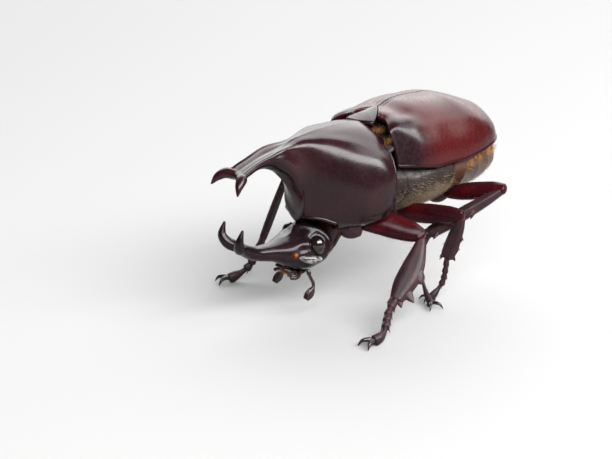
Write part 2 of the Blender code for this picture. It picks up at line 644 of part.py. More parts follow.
def make_tibia(name, kind, joints, size, twist=0.0, grow=0.0):
    """Shin that widens to its end, with edge teeth and end spurs, or the room it needs."""
    root, knee, ankle = (np.array(p) for p in joints)
    down = unit(ankle - knee)
    normal = leg_side(root, knee, ankle)
    wide = unit(np.cross(down, normal))
    if np.dot(wide, root - knee) > 0:
        wide = -wide
    c, s = math.cos(math.radians(twist)), math.sin(math.radians(twist))
    wide, normal = wide * c + normal * s, normal * c - wide * s
    start = knee + down * 0.75 * size + wide * 0.1 * size
    reach = ankle - start
    path = [start + reach * f + wide * bow * size
            for f, bow in zip(np.linspace(0, 1, 6), SHIN_BOW[kind])]
    body = segment(path, np.array(SHINS[kind]) * size + grow, wide, 10, 8, name)
    teeth = []

    def tooth(first, last, radius, swing=0.0, flat=0.8):
        """Add a tooth between two places: share of the length, distance outwards."""
        a, b = (start + reach * f + wide * out * size for f, out in (first, last))
        b = b + normal * swing * size
        b = b + unit(b - a) * grow
        teeth.append(spike(a, b, radius * size + grow, 6, flat, down))

    if kind == "front":
        tooth((0.50, 1.3), (0.66, 3.05), 1.25, 0.0, 0.5)
        tooth((0.84, 0.8), (0.96, 3.05), 1.10, 0.0, 0.5)
        tooth((0.96, 0.1), (1.10, 1.45), 0.85, 0.0, 0.5)
    else:
        for swing in (-0.45, 0.45):
            tooth((0.66, 0.9), (0.76, 1.95), 0.42, swing)
        tooth((0.90, 0.6), (1.02, 1.95), 0.62)
        tooth((0.95, -0.5), (1.12, -1.5), 0.55, 0.3)
        tooth((0.97, 0.1), (1.14, 0.5), 0.5, -0.9)
        tooth((0.97, 0.1), (1.14, 0.6), 0.5, 0.9)
    for swing in (-0.5, 0.5):
        foot = ankle - wide * 0.65 * size + normal * swing * 0.5 * size - down * 0.25
        tip = foot + (down * 1.75 - wide * 0.55 + normal * swing * 0.5) * size + down * grow
        teeth.append(spike(foot, tip, 0.30 * size + grow, 6, 1.0, normal))
    return apply_boolean(body, teeth, "UNION")


def make_tarsus(name, kind, ankle, path, size):
    """Five foot joints that widen to their ends, then a pair of curved claws."""
    ankle = np.array(ankle, float)
    first = unit(np.subtract(path[0], ankle))
    keys = np.array([ankle + first * 0.75 * size] + [tuple(p) for p in path])
    dense = smooth(keys, np.linspace(0, len(keys) - 1, 60))
    run = np.concatenate([[0], np.cumsum(np.linalg.norm(np.diff(dense, axis=0), axis=1))])
    run /= run[-1]

    def along(f):
        """Point at a share of the foot's length."""
        return np.array([np.interp(f, run, dense[:, k]) for k in range(3)])

    girth, claw = size * FOOT_GIRTH[kind], size * CLAW_LENGTH[kind]
    cuts = [0.0, 0.17, 0.33, 0.48, 0.62, 1.0]
    joints = []
    for k in range(5):
        a, b = cuts[k], min(cuts[k + 1] + 0.015, 1.0)
        points = [along(a + (b - a) * f) for f in (0, 0.35, 0.7, 1.0)]
        slim, wide = (0.27, 0.50) if k < 4 else (0.25, 0.60)
        sizes = np.array([(slim, slim), (slim * 1.25, slim * 1.15), (wide * 0.88, wide * 0.8),
                          (wide, wide * 0.85)]) * girth
        if k == 0:
            sizes[:, :] *= np.array([[1.25], [1.15], [1.05], [1.0]])
        joints.append(segment(points, sizes, (0, 0, 1), 6, 4, name if k == 0 else "joint"))
    base, rest = joints[0], joints[1:]
    end = along(1.0)
    ahead = unit((along(1.0) - along(0.9)) * np.array([1, 1, 0]))
    across = np.array([-ahead[1], ahead[0], 0])
    for s in (-1.0, 1.0):
        spread = across * s * size
        tip = end + ahead * 1.7 * claw + spread * 1.35
        tip[2] = 0.25 - BODY_HEIGHT
        hooked = [end - ahead * 0.25,
                  end + ahead * 0.7 * claw + spread * 0.45 + np.array([0, 0, 0.28]),
                  end + ahead * 1.35 * claw + spread + np.array([0, 0, 0.1]), tip]
        sizes = np.array([(.32, .32), (.30, .30), (.23, .23), (.09, .09)]) * claw
        rest.append(segment(hooked, sizes, (0, 0, 1), 5, 5, "claw"))
    pad = [end - ahead * 0.75 * size, end - ahead * 0.2 * size]
    pad = [np.array([p[0], p[1], 0.30 - BODY_HEIGHT]) for p in pad]
    rest.append(segment(pad, np.array([(.36, .40), (.40, .42)]) * size, (0, 0, 1), 7, 2, "pad"))
    return apply_boolean(base, rest, "UNION")


def make_leg(key, joints):
    """Hip piece, thigh, shin and foot of one leg, clear of each other and of the body."""
    kind = key.split("_")[0]
    size, twist = LEG_SIZE[kind], SHIN_TWIST.get(key, 0.0)
    hip, root, knee, ankle = joints[:4]
    bend = (root, knee, ankle)
    coxa = make_coxa("coxa", hip, knee, size)
    femur = make_femur("femur", kind, *bend, size)
    tibia = make_tibia("tibia", kind, bend, size, twist)
    tarsus = make_tarsus("tarsus", kind, ankle, joints[4:], size)
    apply_boolean(femur, [make_tibia("room", kind, bend, size, twist, GAP)], "DIFFERENCE")
    apply_boolean(femur, [make_coxa("room", hip, knee, size, GAP)], "DIFFERENCE")
    apply_boolean(tarsus, [make_tibia("room", kind, bend, size, twist, GAP)], "DIFFERENCE")
    for obj in (coxa, femur, tibia, tarsus):
        move(obj, lambda p: p + LIFT)
    for obj in (coxa, femur):
        for room in [shield_room()] if kind == "front" else body_room():
            apply_boolean(obj, [room], "DIFFERENCE")
    trim_floor(tarsus, FLAT_DEPTH)
    move(tarsus, lambda p: p - np.array([0, 0, FLAT_DEPTH]))
    return coxa, femur, tibia, tarsus


# Finishes: base colour, roughness, coat
FINISHES = {
    "shell": ((0.030, 0.017, 0.018), 0.16, 0.5),
    "wing_case": ((0.17, 0.022, 0.018), 0.18, 0.5),
    "femur": ((0.13, 0.018, 0.018), 0.25, 0.3),
    "limb": ((0.040, 0.022, 0.024), 0.38, 0.1),
    "belly": ((0.085, 0.048, 0.030), 0.55, 0.0),
    "eye": ((0.012, 0.008, 0.008), 0.08, 0.8),
    "feeler": ((0.035, 0.018, 0.016), 0.35, 0.2),
}


def finish(obj, kind):
    """Own material for each piece, shaded smooth."""
    colour, roughness, coat = FINISHES[kind]
    material = bpy.data.materials.new(obj.name + "_" + kind)
    material.use_nodes = True
    shader = material.node_tree.nodes["Principled BSDF"]
    shader.inputs["Base Color"].default_value = (*colour, 1.0)
    shader.inputs["Roughness"].default_value = roughness
    shader.inputs["Coat Weight"].default_value = coat
    obj.data.materials.clear()
    obj.data.materials.append(material)
    obj.data.polygons.foreach_set("use_smooth", [True] * len(obj.data.polygons))
    return obj


def shield_room():
    """Space kept clear round the prothorax."""
    return move(make_prothorax(GAP), from_fore)


def body_room():
    """Space kept clear round the hind body."""
    return [move(make_thorax(GAP), from_hind), move(make_abdomen(GAP), from_hind)]


def main():
    """Build every piece in the shared frame."""
    for obj in list(bpy.data.objects):
        bpy.data.objects.remove(obj)

    parts = []

    def keep(obj, name, kind):
        """Name and finish a piece of the beetle."""
        obj.name = name
        obj.data.name = name
        parts.append(finish(obj, kind))
        return obj

    # Hind body
    elytron = make_elytron()
    socket = make_scutellum(GAP, 2.0, 14.0)
    apply_boolean(elytron, [socket], "DIFFERENCE")
    other = mirrored(elytron, "elytron_right")
    scutellum = make_scutellum()
    thorax, abdomen = make_thorax(), make_abdomen()
    for obj in (elytron, other, scutellum, thorax, abdomen):
        move(obj, from_hind)
    for obj in (elytron, other, scutellum, thorax):
        apply_boolean(obj, [shield_room()], "DIFFERENCE")
    keep(elytron, "elytron_left", "wing_case")
    keep(other, "elytron_right", "wing_case")
    keep(scutellum, "scutellum", "shell")
    keep(thorax, "hind_thorax", "belly")
    keep(abdomen, "abdomen", "belly")

    # Fore body
    prothorax, horn = make_prothorax(), make_horn()
    apply_boolean(prothorax, [make_opening()], "DIFFERENCE")
    apply_boolean(prothorax, [make_head(GAP)], "DIFFERENCE")
    head, head_horn = make_head(), make_head_horn()
    eye = ball("eye_left", EYE_CENTRE, EYE_RADII)
    for target, room in ((head, 0.12), (prothorax, GAP)):
        socket = ball("socket", EYE_CENTRE, [r + room for r in EYE_RADII])
        apply_boolean(target, [socket, mirrored(socket, "socket_right")], "DIFFERENCE")
    fore = [(prothorax, "prothorax", "shell"), (horn, "thorax_horn", "shell"),
            (head, "head", "shell"), (head_horn, "head_horn", "shell"),
            (eye, "eye_left", "eye"), (mirrored(eye, "eye_right"), "eye_right", "eye")]
    antenna = make_antenna()
    fore += [(antenna, "antenna_left", "feeler"),
             (mirrored(antenna, "antenna_right"), "antenna_right", "feeler"),
             (make_mouth(), "mouthparts", "feeler")]
    for obj, name, kind in fore:
        move(obj, from_fore)
        keep(obj, name, kind)

    # Legs
    for key, joints in LEGS.items():
        names = ("coxa_", "femur_", "tibia_", "tarsus_")
        for obj, name in zip(make_leg(key, joints), names):
            keep(obj, name + key, "femur" if name == "femur_" else "limb")

    # Centre the whole on the origin
    low = np.min([np.min([v.co[:] for v in o.data.vertices], axis=0) for o in parts], axis=0)
    high = np.max([np.max([v.co[:] for v in o.data.vertices], axis=0) for o in parts], axis=0)
    shift = np.array([-(low[0] + high[0]) / 2, -(low[1] + high[1]) / 2, -low[2]]) / MM
    for obj in parts:
        move(obj, lambda p: p + shift)


main()
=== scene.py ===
"""Rhinoceros beetle in a photo studio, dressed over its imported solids.

Lengths are written in millimetres and stored in metres. The beetle faces -Y, its
left side is +X, and it stands on the floor at Z = 0.
"""
from __future__ import annotations

import logging
import math
from collections.abc import Iterable
from dataclasses import dataclass, replace
from enum import Enum
from functools import reduce
from operator import add

import bmesh
import bpy
import numpy as np
from mathutils import Matrix, Vector

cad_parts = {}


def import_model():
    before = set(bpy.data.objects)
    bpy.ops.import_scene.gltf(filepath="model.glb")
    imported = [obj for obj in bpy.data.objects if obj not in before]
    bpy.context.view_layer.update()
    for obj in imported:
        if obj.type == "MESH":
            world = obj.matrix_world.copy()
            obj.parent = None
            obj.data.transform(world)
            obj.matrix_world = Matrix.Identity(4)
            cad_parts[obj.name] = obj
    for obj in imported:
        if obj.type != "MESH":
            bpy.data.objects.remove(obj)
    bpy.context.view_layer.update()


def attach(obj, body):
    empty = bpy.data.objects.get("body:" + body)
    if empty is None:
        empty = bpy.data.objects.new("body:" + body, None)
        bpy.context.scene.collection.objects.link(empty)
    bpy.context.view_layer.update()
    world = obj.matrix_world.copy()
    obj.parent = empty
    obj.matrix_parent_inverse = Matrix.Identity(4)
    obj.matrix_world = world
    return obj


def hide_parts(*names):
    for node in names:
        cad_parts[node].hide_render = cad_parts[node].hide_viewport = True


log = logging.getLogger("beetle")

MM = 0.001
Colour = tuple[float, float, float]
Point = tuple[float, float, float]
Row = tuple[float, ...]
Rows = tuple[Row, ...]

# Attitude of the body, as in the solids
HIND_TURN = (1.6, 0.0, -4.4)
FORE_TURN = (2.0, -6.9, 2.0)
FORE_PIVOT = (-0.3, -0.1, 4.0)
FORE_CENTRE = (0.0, 0.0, 4.0)
BODY_HEIGHT = 24.6
CENTRING = (2.1814, -1.2799, 0.0)


class Side(Enum):
    """Left and right of the beetle, as the sign of X."""

    LEFT = 1.0
    RIGHT = -1.0

    @property
    def word(self) -> str:
        """Name used in pieces and nodes."""
        return self.name.lower()

    @property
    def flip(self) -> np.ndarray:
        """Factors that take a point of the left side to this side."""
        return np.array([self.value, 1, 1])


class Pair(Enum):
    """The three pairs of legs."""

    FRONT = "front"
    MID = "mid"
    HIND = "hind"


def turn(pitch: float, yaw: float, roll: float) -> np.ndarray:
    """Matrix of a body turned nose down, nose left and left side down.

    Args:
        pitch: nose down, degrees.
        yaw: nose left, degrees.
        roll: left side down, degrees.

    Returns:
        Rotation matrix.
    """
    p, y, r = np.radians([pitch, yaw, roll])
    about_x = np.array([[1, 0, 0], [0, np.cos(p), -np.sin(p)], [0, np.sin(p), np.cos(p)]])
    about_z = np.array([[np.cos(y), -np.sin(y), 0], [np.sin(y), np.cos(y), 0], [0, 0, 1]])
    about_y = np.array([[np.cos(r), 0, np.sin(r)], [0, 1, 0], [-np.sin(r), 0, np.cos(r)]])
    return about_z @ about_x @ about_y


HIND = turn(*HIND_TURN)
FORE = turn(*FORE_TURN)
LIFT = np.array([0, 0, BODY_HEIGHT]) + np.array(CENTRING)


def from_hind(points: np.ndarray) -> np.ndarray:
    """Hind-body coordinates to the floor frame."""
    return np.asarray(points, float) @ HIND.T + LIFT


def from_fore(points: np.ndarray) -> np.ndarray:
    """Prothorax coordinates to the floor frame."""
    local = np.asarray(points, float) - np.array(FORE_CENTRE)
    return local @ FORE.T + np.array(FORE_PIVOT) + LIFT


def to_fore(points: np.ndarray) -> np.ndarray:
    """Floor frame to prothorax coordinates."""
    return (points - LIFT - np.array(FORE_PIVOT)) @ FORE + np.array(FORE_CENTRE)


def from_walk(points: np.ndarray) -> np.ndarray:
    """Leg coordinates to the floor frame."""
    return np.asarray(points, float) + LIFT


def smooth(keys: object, t: object) -> np.ndarray:
    """Catmull-Rom curve through rows of keys.

    Args:
        keys: rows of numbers.
        t: places along the rows, 0 to the last row's number.

    Returns:
        One row for each place.
    """
    keys = np.asarray(keys, float)
    t = np.asarray(t, float)
    i = np.clip(np.floor(t).astype(int), 0, len(keys) - 2)
    f = (t - i)[..., None]
    a, b = keys[np.clip(i - 1, 0, None)], keys[i]
    c, d = keys[i + 1], keys[np.clip(i + 2, None, len(keys) - 1)]
    return 0.5 * (2 * b + (c - a) * f + (2 * a - 5 * b + 4 * c - d) * f ** 2
                  + (3 * b - a - 3 * c + d) * f ** 3)


def keyed(keys: Rows, x: np.ndarray) -> np.ndarray:
    """Monotone smooth curve through (x, y) keys.

    Args:
        keys: pairs in order of x.
        x: where to read it.

    Returns:
        Values at x.
    """
    xs, ys = np.array(keys, float).T
    slopes = np.diff(ys) / np.diff(xs)
    m = np.concatenate([[slopes[0]], (slopes[1:] + slopes[:-1]) / 2, [slopes[-1]]])
    for k, slope in enumerate(slopes):
        if slope == 0 or m[k] * slope < 0 or m[k + 1] * slope < 0:
            m[k] = m[k + 1] = 0
        else:
            m[k] = np.sign(slope) * min(abs(m[k]), 3 * abs(slope))
            m[k + 1] = np.sign(slope) * min(abs(m[k + 1]), 3 * abs(slope))
    x = np.asarray(x, float)
    i = np.clip(np.searchsorted(xs, x, side="right") - 1, 0, len(xs) - 2)
    h = xs[i + 1] - xs[i]
    f = (x - xs[i]) / h
    return ((2 * f ** 3 - 3 * f ** 2 + 1) * ys[i] + (f ** 3 - 2 * f ** 2 + f) * h * m[i]
            + (3 * f ** 2 - 2 * f ** 3) * ys[i + 1] + (f ** 3 - f ** 2) * h * m[i + 1])


def step(low: float, high: float, t: np.ndarray) -> np.ndarray:
    """Smooth step from 0 at low to 1 at high."""
    f = np.clip((np.asarray(t, float) - low) / (high - low), 0, 1)
    return f * f * (3 - 2 * f)


def hump(x: np.ndarray, centre: float, width: float) -> np.ndarray:
    """Bell curve of height 1."""
    return np.exp(-((np.asarray(x, float) - centre) / width) ** 2)


def unit(v: object) -> np.ndarray:
    """Vectors of length one along the last axis."""
    v = np.asarray(v, float)
    return v / np.maximum(np.linalg.norm(v, axis=-1, keepdims=True), 1e-12)


def section(profile: Rows, count: int) -> np.ndarray:
    """Closed ring of (height, width) from a half profile."""
    half = smooth(profile, np.linspace(0, len(profile) - 1, count // 2 + 1))
    return np.vstack([half, half[-2:0:-1] * np.array([1, -1])])


def grid_normals(grid: np.ndarray) -> np.ndarray:
    """Outward normals of a tube of rings, by differences between neighbours.

    Args:
        grid: rows of rings.

    Returns:
        One normal for each point.
    """
    around = np.roll(grid, -1, axis=1) - np.roll(grid, 1, axis=1)
    along = np.gradient(grid, axis=0)
    n = unit(np.cross(around, along))
    out = grid - grid.mean(axis=1, keepdims=True)
    return n if (n * out).sum() > 0 else -n


@dataclass
class Form:
    """Points in millimetres and the faces between them."""

    points: np.ndarray
    faces: list[tuple[int, ...]]

    def __add__(self, other: Form) -> Form:
        """Both forms in one.

        Args:
            other: form whose points come after.

        Returns:
            The joined form.
        """
        shift = len(self.points)
        faces = self.faces + [tuple(i + shift for i in f) for f in other.faces]
        return Form(np.vstack([self.points, other.points]), faces)

    def placed(self, place: object) -> Form:
        """The form with its points sent through a function."""
        return Form(place(self.points), self.faces)


def joined(forms: Iterable[Form]) -> Form:
    """All the forms in one, in order."""
    return reduce(add, forms)


def ring_faces(rows: int, count: int) -> list[tuple[int, ...]]:
    """Faces between neighbouring rings of equal length."""
    return [(i * count + j, i * count + (j + 1) % count, (i + 1) * count + (j + 1) % count,
             (i + 1) * count + j) for i in range(rows - 1) for j in range(count)]


def rings_form(rings: object, start: float = 0.0, end: float = 0.0) -> Form:
    """Closed form through rings of equal length.

    Args:
        rings: rows of points.
        start: how far the first end bulges.
        end: how far the last end bulges.

    Returns:
        The form, with a fan of triangles at each end.
    """
    rings = np.asarray(rings, float)
    rows, count = rings.shape[:2]
    points = [rings.reshape(-1, 3)]
    faces = ring_faces(rows, count)
    for row, inner, push in ((0, 1, start), (rows - 1, rows - 2, end)):
        centre = rings[row].mean(axis=0)
        tip = centre + unit(centre - rings[inner].mean(axis=0)) * push
        points.append(tip[None])
        index = rows * count + (0 if row == 0 else 1)
        for j in range(count):
            faces.append((row * count + j, row * count + (j + 1) % count, index))
    return Form(np.vstack(points), faces)


DOME_SHARES = (0.9, 0.7, 0.4)
DOME_HEIGHT = 0.55
SPIKE_WIDTHS = (1.0, 0.86, 0.58, 0.16)


def tube(path: object, sizes: object, side: object, count: int = 16, steps: int = 16,
         ribs: tuple[int, float] = (0, 0.0)) -> Form:
    """Oval tube through key points with key sizes and short domed ends.

    Args:
        path: key points.
        sizes: key pairs, reach along side and across it.
        side: direction of the first reach.
        count: points around.
        steps: rings along.
        ribs: number of lengthwise ribs and their share of the size.

    Returns:
        The tube.
    """
    points = smooth(path, np.linspace(0, len(path) - 1, steps))
    widths = smooth(sizes, np.linspace(0, len(sizes) - 1, steps))
    tangents = unit(np.gradient(points, axis=0))
    angles = np.linspace(0, 2 * np.pi, count, endpoint=False)
    swell = 1 + ribs[1] * np.cos(angles * ribs[0])
    rings = []
    for p, tangent, (a, b) in zip(points, tangents, widths):
        u = unit(np.asarray(side, float) - np.dot(side, tangent) * tangent)
        v = np.cross(tangent, u)
        rings.append(p + np.outer(np.cos(angles) * a * swell, u)
                     + np.outer(np.sin(angles) * b * swell, v))

    def dome(ring: np.ndarray, way: np.ndarray, reach: float) -> list[np.ndarray]:
        """Rings that close an end, largest first.

        Args:
            ring: the end's ring.
            way: direction in which the end bulges.
            reach: half thickness of the tube there.

        Returns:
            The rings.
        """
        centre = ring.mean(axis=0)
        return [centre + (ring - centre) * share
                + way * (reach * DOME_HEIGHT * math.sqrt(1 - share * share))
                for share in DOME_SHARES]

    front = dome(rings[0], -tangents[0], widths[0][1])
    back = dome(rings[-1], tangents[-1], widths[-1][1])
    return rings_form(front[::-1] + rings + back)


def spike(start: object, tip: object, radius: float, flat: float, side: object,
          curve: float) -> Form:
    """Tapered tooth with a rounded tip, curved a little towards side.

    Args:
        start: centre of its root.
        tip: its point.
        radius: half width at the root.
        flat: thickness as a share of the width.
        side: direction of the width.
        curve: bend as a share of the length.

    Returns:
        The tooth.
    """
    start, tip = np.asarray(start, float), np.asarray(tip, float)
    reach = np.linalg.norm(tip - start)
    bend = unit(side) * reach * curve
    path = [start, start * 0.66 + tip * 0.34 + bend * 0.5,
            start * 0.33 + tip * 0.67 + bend * 0.5, tip]
    sizes = [(radius * s, radius * s * flat) for s in SPIKE_WIDTHS]
    return tube(path, sizes, side, 14, 14)


def shade_smooth(mesh: bpy.types.Mesh) -> None:
    """Smooth shading on all faces of a mesh."""
    mesh.polygons.foreach_set("use_smooth", [True] * len(mesh.polygons))


def mesh_object(name: str, form: Form, normals: np.ndarray | None = None) -> bpy.types.Object:
    """Object with the form's mesh in metres, faces out and shaded smooth.

    Args:
        name: piece name.
        form: its shape in millimetres.
        normals: shading normals for the points, where a neighbour carries the surface on.

    Returns:
        The object, linked to the scene.
    """
    mesh = bpy.data.meshes.new(name)
    mesh.from_pydata((form.points * MM).tolist(), [], form.faces)
    mesh.validate()
    bm = bmesh.new()
    bm.from_mesh(mesh)
    bmesh.ops.recalc_face_normals(bm, faces=bm.faces)
    bm.to_mesh(mesh)
    bm.free()
    shade_smooth(mesh)
    if normals is not None:
        mesh.normals_split_custom_set_from_vertices(normals.tolist())
    obj = bpy.data.objects.new(name, mesh)
    bpy.context.scene.collection.objects.link(obj)
    return obj


def baked(obj: bpy.types.Object, name: str) -> bpy.types.Object:
    """The object's evaluated shape as a plain mesh of its own; the object goes.

    Args:
        obj: object with its modifiers.
        name: name of the new piece.

    Returns:
        The new object.
    """
    graph = bpy.context.evaluated_depsgraph_get()
    mesh = bpy.data.meshes.new_from_object(obj.evaluated_get(graph))
    mesh.name = name
    bpy.data.objects.remove(obj)
    result = bpy.data.objects.new(name, mesh)
    bpy.context.scene.collection.objects.link(result)
    return result


def fused(name: str, form: Form, grain: float, rounds: int) -> bpy.types.Object:
    """One closed skin round overlapping forms, with soft fillets where they meet.

    Args:
        name: piece name.
        form: overlapping closed forms.
        grain: size of the skin's cells, millimetres.
        rounds: smoothing rounds.

    Returns:
        The object.
    """
    work = mesh_object(name + "_work", Form(form.points / MM, form.faces))
    remesh = work.modifiers.new("skin", "REMESH")
    remesh.mode = "VOXEL"
    remesh.voxel_size = grain
    soften = work.modifiers.new("soften", "SMOOTH")
    soften.factor = 0.5
    soften.iterations = rounds
    obj = baked(work, name)
    obj.data.transform(Matrix.Scale(MM, 4))
    shade_smooth(obj.data)
    return obj


def set_attribute(obj: bpy.types.Object, name: str, values: np.ndarray) -> None:
    """Store a number or a vector for each point of a mesh.

    Args:
        obj: mesh object.
        name: attribute name.
        values: one row for each point.
    """
    values = np.asarray(values, float)
    kind = "FLOAT" if values.ndim == 1 else "FLOAT_VECTOR"
    layer = obj.data.attributes.new(name, kind, "POINT")
    layer.data.foreach_set("value" if values.ndim == 1 else "vector", values.ravel())


def rows_of(items: object, key: str) -> np.ndarray:
    """Vectors stored in mesh data.

    Args:
        items: the mesh's points, normals or attribute data.
        key: name of the vector in an item.

    Returns:
        One row for each item.
    """
    flat = np.empty(len(items) * 3)
    items.foreach_get(key, flat)
    return flat.reshape(-1, 3)


def add_node(tree: bpy.types.NodeTree, kind: str, joins: dict | None = None,
             values: dict | None = None, **settings: object) -> bpy.types.Node:
    """New node in a tree.

    Args:
        tree: the tree.
        kind: node type.
        joins: sockets to join to its inputs, by input.
        values: values of its inputs, by input.
        settings: its own settings.

    Returns:
        The node.
    """
    node = tree.nodes.new(kind)
    for key, value in settings.items():
        setattr(node, key, value)
    for place, value in (values or {}).items():
        node.inputs[place].default_value = value
    for place, socket in (joins or {}).items():
        tree.links.new(socket, node.inputs[place])
    return node


@dataclass(frozen=True)
class Finish:
    """A hard shell with pores, soft patches of a second colour and a clear gloss."""

    name: str
    slot: str
    colour: Colour
    tint: Colour
    patch: float = 6.0
    rough: float = 0.2
    spread: float = 0.06
    coat: float = 0.4
    coat_rough: float = 0.06
    pore: float = 0.35
    pore_depth: float = 0.02
    grain: float = 0.12
    grain_depth: float = 0.004
    # Dark colour painted on as shade, mixed in by the mesh's shade attribute; None for no painted
    # shade.
    painted_shade_colour: Colour | None = None
    specular: float = 0.33
    patch_range: tuple[float, float] = (0.38, 0.66)
    pore_range: tuple[float, float] = (0.08, 0.34)
    rough_range: tuple[float, float] = (0.3, 0.7)

    def material(self) -> bpy.types.Material:
        """Node material of this finish, made once.

        Returns:
            The material.
        """
        known = bpy.data.materials.get(self.name)
        if known:
            return known
        material = bpy.data.materials.new(self.name)
        material.use_nodes = True
        tree = material.node_tree
        shader = tree.nodes["Principled BSDF"]
        place = add_node(tree, "ShaderNodeTexCoord").outputs["Object"]
        place = add_node(tree, "ShaderNodeMapping", {"Vector": place},
                         {"Scale": [1 / MM] * 3}).outputs["Vector"]

        def noise(scale: float, detail: float) -> bpy.types.NodeSocket:
            """Cloudy pattern whose lumps are about scale millimetres."""
            return add_node(tree, "ShaderNodeTexNoise", {"Vector": place},
                            {"Scale": 1 / scale, "Detail": detail}).outputs["Fac"]

        def ranged(socket: bpy.types.NodeSocket, low: float, high: float,
                   to_low: float, to_high: float) -> bpy.types.NodeSocket:
            """A pattern moved from one range to another.

            Args:
                socket: the pattern.
                low: value that becomes to_low.
                high: value that becomes to_high.
                to_low: start of the new range.
                to_high: end of the new range.

            Returns:
                The new pattern.
            """
            return add_node(tree, "ShaderNodeMapRange", {"Value": socket},
                            {"From Min": low, "From Max": high, "To Min": to_low,
                             "To Max": to_high}, interpolation_type="SMOOTHSTEP"
                            ).outputs["Result"]

        def mixed(share: bpy.types.NodeSocket, first: object, second: Colour
                  ) -> bpy.types.NodeSocket:
            """Colour between a first one and a second one.

            Args:
                share: 0 for the first, 1 for the second.
                first: colour or socket.
                second: colour.

            Returns:
                The colour.
            """
            node = add_node(tree, "ShaderNodeMix", {"Factor": share}, {"B": (*second, 1)},
                            data_type="RGBA")
            if isinstance(first, tuple):
                node.inputs["A"].default_value = (*first, 1)
            else:
                tree.links.new(first, node.inputs["A"])
            return node.outputs["Result"]

        share = ranged(noise(self.patch, 3), *self.patch_range, 0, 1)
        colour = mixed(share, self.colour, self.tint)
        # Painted shade: the colour goes towards the dark shade colour where the mesh's shade
        # attribute is high.
        if self.painted_shade_colour:
            label = add_node(tree, "ShaderNodeAttribute", attribute_name="shade")
            colour = mixed(label.outputs["Fac"], colour, self.painted_shade_colour)
        tree.links.new(colour, shader.inputs["Base Color"])
        rough = ranged(noise(self.grain * 4, 6), *self.rough_range, self.rough - self.spread,
                       self.rough + self.spread)
        tree.links.new(rough, shader.inputs["Roughness"])
        cells = add_node(tree, "ShaderNodeTexVoronoi", {"Vector": place},
                         {"Scale": 1 / self.pore})
        pits = ranged(cells.outputs["Distance"], *self.pore_range, 0, 1)
        joins = {}
        for height, depth in ((pits, self.pore_depth), (noise(self.grain, 4), self.grain_depth)):
            bump = add_node(tree, "ShaderNodeBump", {"Height": height, **joins},
                            {"Strength": 1.0, "Distance": depth * MM})
            joins = {"Normal": bump.outputs["Normal"]}
        tree.links.new(joins["Normal"], shader.inputs["Normal"])
        shader.inputs["Coat Weight"].default_value = self.coat
        shader.inputs["Coat Roughness"].default_value = self.coat_rough
        shader.inputs["Specular IOR Level"].default_value = self.specular
        return material


SHELL = Finish("beetle_black_shell", "shell", (0.0087, 0.002, 0.0033), (0.0147, 0.0033, 0.0047),
               patch=7, rough=0.25, spread=0.03, coat=0.05, coat_rough=0.12, pore=0.5,
               pore_depth=0.004, grain=0.16, grain_depth=0.0012, specular=0.27)
HEAD_SHELL = Finish("beetle_head_shell", "shell", (0.006, 0.0027, 0.004), (0.0093, 0.004, 0.0053),
                    patch=4, rough=0.21, spread=0.04, coat=0.04, coat_rough=0.08, pore=0.32,
                    pore_depth=0.010, grain=0.14, grain_depth=0.002, specular=0.18)
# Wing cases: dark red, with a near-black shade colour painted on as shade by each plate's mask.
WING_WITH_PAINTED_SHADE = Finish("beetle_wing_case", "wing_case", (0.0373, 0.0023, 0.0023), (0.024, 0.002, 0.0027),
              patch=9, rough=0.28, spread=0.04, coat=0.04, coat_rough=0.16, pore=0.42,
              pore_depth=0.002, grain=0.16, grain_depth=0.001,
              painted_shade_colour=(0.0067, 0.002, 0.0033), specular=0.21)
THIGH = Finish("beetle_thigh", "femur", (0.028, 0.002, 0.0033), (0.0147, 0.002, 0.0033),
               patch=4, rough=0.24, spread=0.06, coat=0.02, coat_rough=0.1, pore=0.5,
               pore_depth=0.008, grain=0.12, grain_depth=0.002, specular=0.09)
LIMB = Finish("beetle_limb", "limb", (0.016, 0.008, 0.01), (0.0267, 0.0107, 0.0127),
              patch=3, rough=0.40, spread=0.08, coat=0.03, coat_rough=0.2, pore=0.36,
              pore_depth=0.02, grain=0.10, grain_depth=0.005, specular=0.16)
CLAW = Finish("beetle_claw", "limb", (0.0087, 0.004, 0.0053), (0.0147, 0.006, 0.0067),
              patch=2, rough=0.22, spread=0.05, coat=0.20, pore=0.4, pore_depth=0.004,
              grain=0.1, grain_depth=0.002)
BELLY = Finish("beetle_belly", "belly", (0.0073, 0.0033, 0.0027), (0.0147, 0.0067, 0.0047),
               patch=2.5, rough=0.5, spread=0.1, coat=0.0, pore=0.3, pore_depth=0.03,
               grain=0.12, grain_depth=0.012)
ABDOMEN = Finish("beetle_abdomen", "belly", (0.0333, 0.012, 0.0073), (0.0533, 0.024, 0.012),
                 patch=2.5, rough=0.36, spread=0.08, coat=0.07, pore=0.34, pore_depth=0.02,
                 grain=0.12, grain_depth=0.008)
